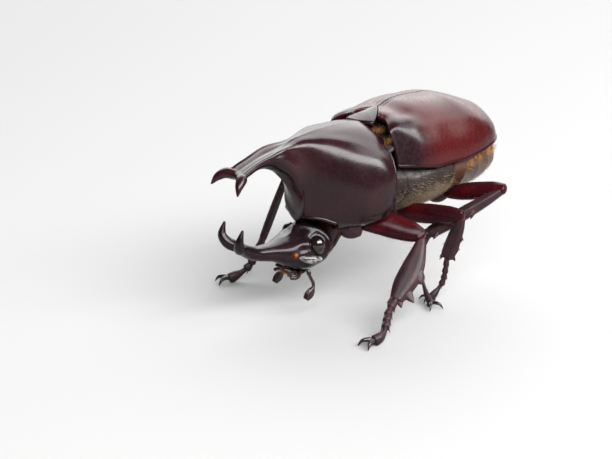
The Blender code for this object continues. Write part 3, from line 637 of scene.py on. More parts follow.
# Bar under the eye: dark, mottled with pale patches painted on as glints of reflected light.
EYE_BAR_PAINTED_GLINTS = Finish("beetle_eye_bar", "shell", (0.0233, 0.0187, 0.0187), (0.2, 0.1933, 0.1867),
                 patch=0.9, rough=0.16, spread=0.05, coat=0.40, coat_rough=0.06, pore=0.3,
                 pore_depth=0.01, grain=0.1, grain_depth=0.004)
EYE = Finish("beetle_eye", "eye", (0.004, 0.0027, 0.0027), (0.008, 0.004, 0.0033),
             patch=1.5, rough=0.09, spread=0.02, coat=0.53, coat_rough=0.03, pore=0.07,
             pore_depth=0.001, grain=0.05, grain_depth=0.0004)
FEELER = Finish("beetle_feeler", "feeler", (0.008, 0.004, 0.004), (0.0173, 0.006, 0.0053),
                patch=1.2, rough=0.3, spread=0.06, coat=0.13, pore=0.25, pore_depth=0.008,
                grain=0.08, grain_depth=0.003)
JOINT_SKIN = Finish("beetle_joint_skin", "belly", (0.0053, 0.002, 0.002), (0.0333, 0.004, 0.0033),
                    patch=2.2, rough=0.42, spread=0.08, coat=0.07, pore=0.3, pore_depth=0.01,
                    grain=0.08, grain_depth=0.01)
DULL_SKIN = Finish("beetle_dull_skin", "belly", (0.008, 0.003, 0.003), (0.016, 0.006, 0.004),
                   patch=2.0, rough=0.88, spread=0.04, coat=0.0, pore=0.3, pore_depth=0.02,
                   grain=0.1, grain_depth=0.01, specular=0.03)
HAIR_GOLD = Finish("beetle_hair_gold", "belly", (0.3067, 0.16, 0.0467), (0.2133, 0.0933, 0.0233),
                   patch=1.5, rough=0.45, spread=0.08, coat=0.0, pore=0.2, pore_depth=0.0,
                   grain=0.1, grain_depth=0.0)
HAIR_PALE = replace(HAIR_GOLD, name="beetle_hair_pale", colour=(0.28, 0.20, 0.12),
                    tint=(0.18, 0.115, 0.07), rough=0.5)
HAIR_ORANGE = replace(HAIR_GOLD, name="beetle_hair_orange", colour=(0.3467, 0.1133, 0.0233),
                      tint=(0.24, 0.06, 0.0133), patch=1.0)
HAIR_RUST = replace(HAIR_ORANGE, name="beetle_hair_rust", slot="limb", colour=(0.1067, 0.03, 0.012),
                    tint=(0.06, 0.0173, 0.008), rough=0.4)


def dress(obj: bpy.types.Object, finish: Finish, *nodes: str) -> bpy.types.Object:
    """Give a piece its finish and body, and hide the nodes that it stands for.

    Args:
        obj: the piece.
        finish: its finish.
        nodes: solids that it replaces.

    Returns:
        The piece.
    """
    obj.data.materials.clear()
    obj.data.materials.append(finish.material())
    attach(obj, "root")
    if nodes:
        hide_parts(*nodes)
    log.info("%s: %d faces, replaces %s", obj.name, len(obj.data.polygons), nodes or "nothing")
    return obj


# Hair
@dataclass
class HairCoat:
    """Short hairs that grow from a skin, laid by Geometry Nodes."""

    name: str
    finish: Finish
    per_mm2: float = 20.0
    length: float = 0.9
    radius: float = 0.022
    lean: float = 1.2
    jitter: float = 0.45
    seed: int = 3
    sides: int = 3
    bend: float = 0.22
    profile: Rows = ((0.0, 1.0), (0.4, 0.8), (0.75, 0.5), (1.0, 0.12))
    lengths: tuple[float, float] = (0.6, 1.25)
    patch: float = 0.003

    def bristle(self) -> bpy.types.Object:
        """One bent, tapered hair one millimetre long, root at the origin.

        Returns:
            The hair's object.
        """
        angles = np.linspace(0, 2 * np.pi, self.sides, endpoint=False)
        rings = [np.column_stack([
            np.cos(angles) * r * self.radius / self.length + self.bend * h * h,
            np.sin(angles) * r * self.radius / self.length,
            np.full(self.sides, h)]) for h, r in self.profile]
        return mesh_object(self.name + "_bristle", rings_form(rings))

    def tree(self) -> bpy.types.NodeTree:
        """Node tree that scatters bristles over a skin.

        Returns:
            The tree, with named inputs.
        """
        tree = bpy.data.node_groups.new(self.name + "_tree", "GeometryNodeTree")
        sockets = (("Skin", "NodeSocketGeometry"), ("Bristle", "NodeSocketObject"),
                   ("Density", "NodeSocketFloat"), ("Length", "NodeSocketFloat"),
                   ("Lean", "NodeSocketFloat"), ("Jitter", "NodeSocketFloat"),
                   ("Seed", "NodeSocketInt"), ("Finish", "NodeSocketMaterial"))
        for label, kind in sockets:
            tree.interface.new_socket(name=label, in_out="INPUT", socket_type=kind)
        tree.interface.new_socket(name="Coat", in_out="OUTPUT", socket_type="NodeSocketGeometry")
        given, result = (add_node(tree, "NodeGroup" + end) for end in ("Input", "Output"))
        given = given.outputs

        def attribute(label: str, kind: str) -> bpy.types.NodeSocket:
            """Named attribute of the skin."""
            return add_node(tree, "GeometryNodeInputNamedAttribute", None, {"Name": label},
                            data_type=kind).outputs["Attribute"]

        def maths(operation: str, first: bpy.types.NodeSocket, second: bpy.types.NodeSocket
                  ) -> bpy.types.NodeSocket:
            """Number from two numbers."""
            return add_node(tree, "ShaderNodeMath", {0: first, 1: second},
                            operation=operation).outputs[0]

        def vectors(operation: str, first: bpy.types.NodeSocket, second: bpy.types.NodeSocket
                    ) -> bpy.types.NodeSocket:
            """Vector from a vector and a vector or number.

            Args:
                operation: what is done.
                first: the vector.
                second: the vector or number.

            Returns:
                The result.
            """
            place = 3 if operation == "SCALE" else 1
            return add_node(tree, "ShaderNodeVectorMath", {0: first, place: second},
                            operation=operation).outputs[0]

        def draw(kind: str, low: object, high: object, step_up: int) -> bpy.types.NodeSocket:
            """Random number or vector for each hair.

            Args:
                kind: FLOAT or FLOAT_VECTOR.
                low: least value.
                high: largest value.
                step_up: added to the coat's seed.

            Returns:
                The value.
            """
            index, output = {"FLOAT": (2, 1), "FLOAT_VECTOR": (0, 0)}[kind]
            seed = add_node(tree, "ShaderNodeMath", {0: given["Seed"]}, {1: step_up},
                            operation="ADD").outputs[0]
            return add_node(tree, "FunctionNodeRandomValue", {"Seed": seed},
                            {index: low, index + 1: high}, data_type=kind).outputs[output]

        density = maths("MULTIPLY", attribute("coat", "FLOAT"), given["Density"])
        scatter = add_node(tree, "GeometryNodeDistributePointsOnFaces",
                           {"Mesh": given["Skin"], "Density": density, "Seed": given["Seed"]})
        lay = attribute("lay", "FLOAT_VECTOR")
        lean = vectors("SCALE", lay, given["Lean"])
        wobble = vectors("SCALE", draw("FLOAT_VECTOR", (-1, -1, -1), (1, 1, 1), 11),
                         given["Jitter"])
        way = vectors("ADD", vectors("ADD", scatter.outputs["Normal"], lean), wobble)
        upright = add_node(tree, "FunctionNodeAlignRotationToVector", {"Vector": way}, axis="Z")
        facing = add_node(tree, "FunctionNodeAlignRotationToVector",
                          {"Rotation": upright.outputs["Rotation"], "Vector": lay},
                          axis="X", pivot_axis="Z")
        shape = add_node(tree, "GeometryNodeObjectInfo", {"Object": given["Bristle"]})
        scale = maths("MULTIPLY", given["Length"], draw("FLOAT", *self.lengths, 29))
        place = add_node(tree, "GeometryNodeInstanceOnPoints",
                         {"Points": scatter.outputs["Points"], "Scale": scale,
                          "Instance": shape.outputs["Geometry"],
                          "Rotation": facing.outputs["Rotation"]})
        real = add_node(tree, "GeometryNodeRealizeInstances",
                        {"Geometry": place.outputs["Instances"]})
        paint = add_node(tree, "GeometryNodeSetMaterial",
                         {"Geometry": real.outputs["Geometry"], "Material": given["Finish"]})
        tree.links.new(paint.outputs["Geometry"], result.inputs["Coat"])
        return tree

    def grow(self, skin: bpy.types.Object) -> bpy.types.Object:
        """Grow the coat on a skin with coat, lay and root attributes.

        Args:
            skin: mesh object that carries the attributes. It stays.

        Returns:
            The coat as a plain mesh with its OFBake map.
        """
        bristle = self.bristle()
        tree = self.tree()
        work = skin.copy()
        bpy.context.scene.collection.objects.link(work)
        mod = work.modifiers.new("coat", "NODES")
        mod.node_group = tree
        values = {"Bristle": bristle, "Density": self.per_mm2 / MM / MM, "Length": self.length,
                  "Lean": self.lean, "Jitter": self.jitter, "Seed": self.seed,
                  "Finish": self.finish.material()}
        for item in tree.interface.items_tree:
            if item.in_out == "INPUT" and item.name in values:
                mod[item.identifier] = values[item.name]
        obj = baked(work, self.name)
        bpy.data.objects.remove(bristle)
        bpy.data.node_groups.remove(tree)
        self.lay_map(obj.data)
        shade_smooth(obj.data)
        return dress(obj, self.finish)

    def lay_map(self, mesh: bpy.types.Mesh) -> None:
        """Write the OFBake map: each hair is a small patch at its root's place.

        Args:
            mesh: the coat.
        """
        per_hair = self.sides * len(self.profile) + 2
        across = math.ceil(math.sqrt(per_hair))
        roots = rows_of(mesh.attributes["root"].data, "vector")[:, :2]
        number = np.arange(len(mesh.vertices)) % per_hair
        inside = np.column_stack([number % across, number // across]) / across * self.patch
        corner = np.empty(len(mesh.loops), int)
        mesh.loops.foreach_get("vertex_index", corner)
        layer = mesh.uv_layers.new(name="OFBake")
        layer.data.foreach_set("uv", (roots + inside)[corner].ravel())


def drawn_in(ring: np.ndarray, steps: Rows) -> np.ndarray:
    """Copies of an upright ring, smaller and moved along the body.

    Args:
        ring: the ring.
        steps: share of its size and move along Y of each copy.

    Returns:
        Array of rings.
    """
    middle = ring.mean(axis=0)
    return np.array([middle + (ring - middle) * np.array([share, 1.0, share])
                     + np.array([0, back, 0]) for share, back in steps])


def cast(name: str, form: Form, place: object, finish: Finish, *nodes: str
         ) -> bpy.types.Object:
    """Make a piece from a form, bring it to the floor frame with place, and dress it."""
    return dress(mesh_object(name, form.placed(place)), finish, *nodes)


def furred(obj: bpy.types.Object, coat: np.ndarray, lay: np.ndarray, root: np.ndarray) -> None:
    """Store where hair grows on a mesh, which way it lies, and the skin's unwrap.

    Args:
        obj: the skin.
        coat: share of full density at each point.
        lay: direction of the hair.
        root: place on the unwrap, 0 to 1 both ways.
    """
    set_attribute(obj, "coat", np.clip(coat, 0, 1))
    set_attribute(obj, "lay", np.tile(unit(lay), (len(coat), 1)))
    set_attribute(obj, "root", np.column_stack([root, np.zeros(len(root))]))


def tuft_root(side: Side, centre: Row, reach: Row, rings: Rows, count: int) -> Form:
    """Small domed patch on the beetle's flank.

    Args:
        side: left or right.
        centre: its middle on the left side.
        reach: half its length and half its height.
        rings: share of the size and distance outwards of each ring.
        count: points around.

    Returns:
        The patch.
    """
    angles = np.linspace(0, 2 * np.pi, count, endpoint=False)
    return rings_form([(np.array(centre) + np.column_stack([
        np.full(count, out), np.cos(angles) * reach[0] * size,
        np.sin(angles) * reach[1] * size])) * side.flip for size, out in rings])


def tufted(name: str, form: Form, place: object, lay: np.ndarray) -> bpy.types.Object:
    """Dressed patch with hair all over.

    Args:
        name: piece name.
        form: the patch.
        place: function that brings it to the floor frame.
        lay: direction of the hair in the floor frame.

    Returns:
        The piece.
    """
    number = len(form.points)
    obj = mesh_object(name, form.placed(place))
    root = np.column_stack([np.arange(number) / number, np.full(number, 0.5)])
    furred(obj, np.ones(number), lay, root)
    return dress(obj, HAIR_ORANGE)


def lined(rows: list[np.ndarray], shift: Row, share: np.ndarray, hairy: slice
          ) -> tuple[Form, np.ndarray, np.ndarray]:
    """Thin closed skin through rows of points, with hair on some of its rows.

    Args:
        rows: rows of points.
        shift: from its upper face to its lower face.
        share: place along the unwrap of each point of a row.
        hairy: rows with hair.

    Returns:
        The skin, and the density of hair and place on the unwrap at each point.
    """
    top = np.array(rows)
    loop = np.concatenate([top, top[::-1] + np.array(shift)]).transpose(1, 0, 2)
    form = rings_form(loop)
    count, cols = loop.shape[:2]
    grid = np.zeros((count, cols))
    grid[:, hairy] = 1.0
    coat, root = np.zeros(len(form.points)), np.zeros((len(form.points), 2))
    coat[:grid.size] = grid.ravel()
    root[:grid.size] = np.column_stack([np.repeat(share, cols),
                                        np.tile(np.arange(cols) / cols, count)])
    return form, coat, root


# Shield and thoracic horn
@dataclass
class ForkedShell:
    """A body part of rings on the midline that ends in a horn with two points."""

    stations: Rows
    count: int
    fork_at: float
    part_at: float
    web: tuple[float, float]
    tine: Rows
    tine_sizes: Rows
    step_size: float = 0.1
    web_points: int = 14
    tine_steps: int = 27
    tine_spacing: float = 0.9
    oval_by: float = 0.42
    tip_reach: float = 0.7
    soft_share: float = 0.65
    soft_reach: float = 1.5
    soft_rounds: int = 26

    def sections(self, t: float) -> np.ndarray:
        """Ring of (height, width) at a station."""
        raise NotImplementedError

    def swell(self, t: np.ndarray) -> np.ndarray:
        """How far the rings grow at a station, millimetres."""
        return np.zeros_like(t)

    def relief(self, t: np.ndarray, s: np.ndarray, grid: np.ndarray) -> np.ndarray:
        """Height of the surface's small forms above the plain loft."""
        return np.zeros(grid.shape[:2])

    def rings(self, times: np.ndarray) -> np.ndarray:
        """Rings at the given stations.

        Args:
            times: stations.

        Returns:
            Array of rings.
        """
        rows = []
        for t in times:
            ty, tz, by, bz, w = smooth(self.stations, t)
            ring = self.sections(t)
            top, bottom = np.array([ty, tz]), np.array([by, bz])
            centre, reach = (top + bottom) / 2, (top - bottom) / 2
            more = float(self.swell(np.array(t)))
            reach = reach * (1 + more / np.linalg.norm(reach))
            line = centre + ring[:, :1] * reach
            rows.append(np.column_stack([ring[:, 1] * (w + more), line]))
        return np.array(rows)

    def shaped(self, grid: np.ndarray, times: np.ndarray) -> np.ndarray:
        """The grid with its small forms raised.

        Args:
            grid: rings.
            times: their stations.

        Returns:
            The rings in relief.
        """
        s = np.arange(self.count) / self.count
        height = self.relief(times[:, None], s[None, :], grid)
        return grid + grid_normals(grid) * height[..., None]

    def body(self) -> tuple[Form, int]:
        """The whole shell from its rear to both tips.

        Returns:
            The form, and the number of points before the horn.
        """
        times = np.concatenate([np.arange(0, self.fork_at, self.step_size), [self.fork_at]])
        grid = self.shaped(self.rings(times), times)
        grid = np.concatenate([self.rear(grid), grid])
        times = np.concatenate([np.full(len(grid) - len(times), -1.0), times])
        rows, count = grid.shape[:2]
        points = [grid.reshape(-1, 3)]
        faces = ring_faces(rows, count)
        total = rows * count
        points.append(grid[0].mean(axis=0)[None])
        faces += [(j, (j + 1) % count, total) for j in range(count)]
        total += 1
        last, half = (rows - 1) * count, count // 2
        ring = grid[-1]
        share = np.arange(1, self.web_points + 1) / (self.web_points + 1)
        web = ring[half] * (1 - share[:, None]) + ring[0] * share[:, None]
        web[:, 1] += self.web[0] * np.sin(np.pi * share)
        web[:, 2] += self.web[1] * np.sin(np.pi * share)
        points.append(web)
        web_index = [total + k for k in range(self.web_points)]
        total += self.web_points
        for side in Side:
            order = [last + (i if side is Side.LEFT else (count - i) % count)
                     for i in range(half + 1)]
            loop = order + web_index
            base = np.vstack([ring[[i - last for i in order]], web])
            rows_out, tip = self.tine_rings(base, side.value, half)
            flat = rows_out.reshape(-1, 3)
            points += [flat, tip[None]]
            size = len(loop)
            previous = loop
            for r in range(len(rows_out)):
                current = [total + r * size + k for k in range(size)]
                for a in range(size):
                    b = (a + 1) % size
                    faces.append((previous[a], previous[b], current[b], current[a]))
                previous = current
            total += len(flat)
            faces += [(previous[a], previous[(a + 1) % size], total) for a in range(size)]
            total += 1
        form = Form(np.vstack(points), faces)
        fork = web.mean(axis=0)
        form.points = self.softened(form, fork)
        horn_from = int(np.searchsorted(times, self.part_at)) * count
        return form, horn_from

    def rear(self, grid: np.ndarray) -> np.ndarray:
        """Rings that close the rear end inwards, last one nearest the shell."""
        raise NotImplementedError

    def tine_rings(self, base: np.ndarray, side: float, half: int
                   ) -> tuple[np.ndarray, np.ndarray]:
        """Rings of one point of the fork.

        Args:
            base: the loop that it grows from.
            side: sign of X.
            half: number of steps round the outer side.

        Returns:
            The rings, and the very tip.
        """
        start = base.mean(axis=0)
        keys = np.array([tuple(start * np.array([side, 1, 1])), *self.tine])
        keys = keys * np.array([side, 1, 1])
        f = np.linspace(0, 1, self.tine_steps)[1:] ** self.tine_spacing
        path = smooth(keys, f * (len(keys) - 1))
        sizes = smooth(self.tine_sizes, f * (len(self.tine_sizes) - 1))
        tangents = unit(np.gradient(np.vstack([start, path]), axis=0))[1:]
        outer = np.radians(100 - 200 * np.arange(half + 1) / half)
        inner = np.radians(-100 - 160 * np.arange(1, self.web_points + 1) / (self.web_points + 1))
        angles = np.concatenate([outer, inner])
        rings = []
        for p, tangent, (a, b), share in zip(path, tangents, sizes, f):
            u = unit(np.array([side, 0, 0]) - side * tangent[0] * tangent)
            v = side * np.cross(tangent, u)
            oval = p + np.outer(np.cos(angles) * a, u) + np.outer(np.sin(angles) * b, v)
            carried = base + (p - start)
            mix = float(step(0.0, self.oval_by, share))
            rings.append(carried * (1 - mix) + oval * mix)
        tip = path[-1] + tangents[-1] * sizes[-1][1] * self.tip_reach
        return np.array(rings), tip

    def softened(self, form: Form, fork: np.ndarray) -> np.ndarray:
        """Points smoothed round the fork.

        Args:
            form: the whole shell.
            fork: where it forks.

        Returns:
            The new points.
        """
        edges = np.array([(f[i], f[(i + 1) % len(f)]) for f in form.faces for i in range(len(f))])
        points = form.points.copy()
        away = np.linalg.norm(points - fork, axis=1)
        weight = self.soft_share * np.exp(-(away / self.soft_reach) ** 2)
        number = np.bincount(edges[:, 0], minlength=len(points))
        number = number + np.bincount(edges[:, 1], minlength=len(points))
        for _ in range(self.soft_rounds):
            total = np.zeros_like(points)
            np.add.at(total, edges[:, 0], points[edges[:, 1]])
            np.add.at(total, edges[:, 1], points[edges[:, 0]])
            mean = total / np.maximum(number, 1)[:, None]
            points += (mean - points) * weight[:, None]
        return points

    def pieces(self, body_name: str, horn_name: str) -> tuple[bpy.types.Object, bpy.types.Object]:
        """Body and horn as two closed pieces whose shading runs on across the parting.

        Args:
            body_name: piece name of the body.
            horn_name: piece name of the horn.

        Returns:
            Both pieces.
        """
        form, horn_from = self.body()
        form = form.placed(from_fore)
        whole = mesh_object("whole_work", form)
        normals = rows_of(whole.data.vertex_normals, "vector")
        bpy.data.objects.remove(whole)
        low = np.array([min(f) for f in form.faces])
        high = np.array([max(f) for f in form.faces])
        rear_tip = high == self.rear_tip(form)
        is_horn = (low >= horn_from) & ~rear_tip
        return (self.part(body_name, form, normals, ~is_horn),
                self.part(horn_name, form, normals, is_horn))

    def rear_tip(self, form: Form) -> int:
        """Index of the point that closes the rear end."""
        return next(f[2] for f in form.faces if len(f) == 3)

    def part(self, name: str, form: Form, normals: np.ndarray, chosen: np.ndarray
             ) -> bpy.types.Object:
        """Some faces of a form as a closed piece.

        Args:
            name: piece name.
            form: the whole form.
            normals: shading normals of its points.
            chosen: which faces to take.

        Returns:
            The piece.
        """
        faces = [f for f, keep in zip(form.faces, chosen) if keep]
        used = sorted({i for f in faces for i in f})
        index = {old: new for new, old in enumerate(used)}
        faces = [tuple(index[i] for i in f) for f in faces]
        points = form.points[used]
        shading = normals[used]
        count = {}
        for f in faces:
            for i in range(len(f)):
                edge = (f[i], f[(i + 1) % len(f)])
                count[frozenset(edge)] = count.get(frozenset(edge), 0) + 1
        rim = [tuple(e) for e, n in count.items() if n == 1]
        if rim:
            ends = sorted({i for e in rim for i in e})
            centre = points[ends].mean(axis=0)
            points = np.vstack([points, centre])
            shading = np.vstack([shading, [0, 1, 0]])
            faces += [(a, b, len(points) - 1) for a, b in rim]
        return mesh_object(name, Form(points, faces), shading)


@dataclass
class Shield(ForkedShell):
    """Prothorax shield with a bead along its edge, and the thoracic horn."""

    stations: Rows = (
        (0.2, 7.5, -1.6, -9.0, 11.0), (-0.8, 8.1, -2.4, -9.5, 11.5),
        (-2.8, 8.5, -4.0, -9.9, 11.75), (-5.5, 8.65, -6.0, -10.1, 11.4),
        (-8.0, 8.6, -7.9, -10.2, 10.5), (-10.3, 8.5, -9.8, -10.2, 8.6),
        (-12.3, 8.3, -11.9, -9.8, 6.5), (-14.0, 8.1, -14.1, -8.8, 4.5),
        (-15.4, 7.9, -15.2, -7.2, 3.4), (-16.6, 7.65, -15.2, -5.2, 3.0),
        (-17.8, 7.4, -15.9, -2.7, 2.85), (-19.0, 7.1, -17.4, 0.1, 2.8),
        (-20.3, 6.75, -19.5, 2.3, 2.7), (-21.6, 6.35, -21.2, 3.5, 2.5),
        (-23.0, 5.9, -22.8, 3.75, 2.25), (-24.4, 5.4, -24.2, 3.45, 2.15),
        (-25.7, 4.9, -25.5, 2.9, 2.25), (-27.0, 4.3, -26.8, 2.5, 2.2),
        (-27.9, 3.7, -27.8, 2.8, 1.3))
    count: int = 160
    fork_at: float = 16.9
    part_at: float = 11.6
    web: tuple[float, float] = (-0.9, 0.0)
    tine: Rows = (
        (2.35, -27.75, 3.6), (3.3, -28.9, 2.85), (3.95, -29.7, 1.6))
    tine_sizes: Rows = (
        (1.15, 1.05), (1.0, 0.92), (0.70, 0.66), (0.16, 0.16))

    crest: Rows = (
        (0.0, .24), (1.0, .214), (1.6, .179), (3.0, .143), (4.1, .116), (5.0, .099),
        (6.0, .089), (6.9, .084), (8.4, .090), (9.8, .105), (11.5, .13), (13.0, .15),
        (17.0, .15))
    crease: Rows = (
        (6.0, .24), (7.3, .262), (8.1, .270), (9.3, .304), (10.4, .357), (11.4, .42),
        (12.4, .47), (17.0, .48))

    rolled: Rows = ((0.55, -2.2), (0.82, -1.5), (0.93, -0.7), (0.975, -0.12))
    lining: Rows = (
        (0.1, -2.42), (0.52, -2.38), (0.80, -1.75), (0.91, -1.0), (0.95, -0.5),
        (0.945, -0.30), (0.90, -0.62), (0.79, -1.36), (0.52, -2.02), (0.1, -2.06))

    shield_section: Rows = (
        (1, 0), (.94, .27), (.80, .53), (.54, .79), (.23, .94), (-.1, 1), (-.4, .98), (-.62, .90),
        (-.80, .68), (-.93, .36), (-1, 0))
    horn_section: Rows = (
        (.90, 0), (.97, .28), (1.0, .52), (.90, .82), (.58, 1), (.2, .95), (-.2, .78),
        (-.55, .52), (-.80, .32), (-.95, .14), (-1, 0))

    def sections(self, t: float) -> np.ndarray:
        """Shield section that turns into the horn's ridged one.

        Args:
            t: station.

        Returns:
            Ring of (height, width).
        """
        share = float(step(7.5, 13.0, t))
        return (section(self.shield_section, self.count) * (1 - share)
                + section(self.horn_section, self.count) * share)

    def swell(self, t: np.ndarray) -> np.ndarray:
        """Bead and groove along the rear edge."""
        return 0.13 * hump(t, 0.22, 0.17) - 0.07 * hump(t, 0.62, 0.16)

    def relief(self, t: np.ndarray, s: np.ndarray, grid: np.ndarray) -> np.ndarray:
        """Crest from the horn to the rear corner, crease of the front face, side bead.

        Args:
            t: stations.
            s: share of the way round.
            grid: rings; not used.

        Returns:
            Height in millimetres.
        """
        side = np.minimum(s, 1 - s)
        crest = keyed(self.crest, t)
        rise = 0.50 * step(0.6, 3.2, t) * (1 - 0.55 * step(9.0, 13.0, t))
        spread = 0.045 - 0.023 * step(7.0, 11.0, t)
        height = rise * hump((side - crest) / spread, 0, 1)
        height -= 0.1 * rise * hump((side - crest + 0.055) / 0.025, 0, 1)
        height -= 0.2 * rise * hump((side - crest - 0.085) / 0.055, 0, 1)
        height -= (0.25 * rise * hump(side / 0.05, 0, 1) * step(4.0, 8.0, t)
                   * (1 - step(12.5, 15.0, t)))
        crease = keyed(self.crease, t)
        fold = step(6.4, 8.2, t) * (1 - step(12.0, 13.0, t))
        height += 0.05 * fold * hump((side - crease) / 0.03, 0, 1)
        height -= 0.30 * fold * hump((side - crease) / 0.07, 0, 1)
        fade = step(0.1, 0.8, t) * (1 - step(4.5, 5.5, t))
        height += fade * (0.11 * hump(side, 0.352, 0.008) - 0.07 * hump(side, 0.332, 0.010))
        return height

    def arch(self, x: np.ndarray) -> np.ndarray:
        """Height of the head opening's roof."""
        return -5.7 - 1.8 * hump(x, 0, 2.0) - 4.0 * (np.abs(x) / 8.2) ** 5

    def opened(self, grid: np.ndarray) -> np.ndarray:
        """The grid lifted over the head into the opening's roof.

        Args:
            grid: rings.

        Returns:
            The new rings.
        """
        x, y, z = grid[..., 0], grid[..., 1], grid[..., 2]
        inside = (1 - step(-11.6, -10.2, y)) * (1 - step(7.6, 8.6, np.abs(x)))
        grid = grid.copy()
        grid[..., 2] = z + np.clip(self.arch(x) - z, 0, None) * inside
        return grid

    def shaped(self, grid: np.ndarray, times: np.ndarray) -> np.ndarray:
        """The grid with its small forms and the head opening."""
        return self.opened(super().shaped(grid, times))

    def rim(self) -> np.ndarray:
        """Front edge of the head opening, from the left end to the right end.

        Returns:
            Its points.
        """
        times = np.arange(4.6, 9.6, 0.05)
        grid = super().shaped(self.rings(times), times)
        left = []
        for ring in grid:
            half = ring[: self.count // 2 + 1]
            low = (half[:, 2] < self.arch(half[:, 0])) & (half[:, 0] < 8.0) & (half[:, 1] < -11.0)
            low &= np.arange(len(half)) > self.count // 4
            if low.any():
                left.append(half[int(np.argmax(low))])
        left = np.array(left)
        curve = np.vstack([left, left[::-1] * np.array([-1, 1, 1])])
        for _ in range(40):
            curve[1:-1] = (curve[:-2] + 2 * curve[1:-1] + curve[2:]) / 4
        return curve

    def rings(self, times: np.ndarray) -> np.ndarray:
        """Rings with the sides of the rear edge drawn a little forward.

        Args:
            times: stations.

        Returns:
            Array of rings.
        """
        grid = super().rings(times)
        drawn = 0.3 * (np.abs(grid[..., 0]) / 11.4) ** 2 * np.exp(grid[:, :1, 1] / 4.0)
        grid[..., 1] -= drawn
        return grid

    def rear(self, grid: np.ndarray) -> np.ndarray:
        """The rear edge rolled in and closed."""
        return drawn_in(grid[0], self.rolled)

    def rear_skin(self) -> None:
        """Dull skin that lines the hollow rear of the shield."""
        times = np.array([0.0, self.step_size])
        rings = drawn_in(self.shaped(self.rings(times), times)[0], self.lining)
        cast("shield_rear_skin", rings_form(rings), from_fore, DULL_SKIN)

    def build(self) -> np.ndarray:
        """Make and dress the shield and the thoracic horn.

        Returns:
            Edge of the head opening in prothorax coordinates.
        """
        shield, horn = self.pieces("pronotum_shell", "thorax_horn_shell")
        dress(shield, SHELL, "prothorax")
        dress(horn, SHELL, "thorax_horn")
        self.rear_skin()
        return self.rim()


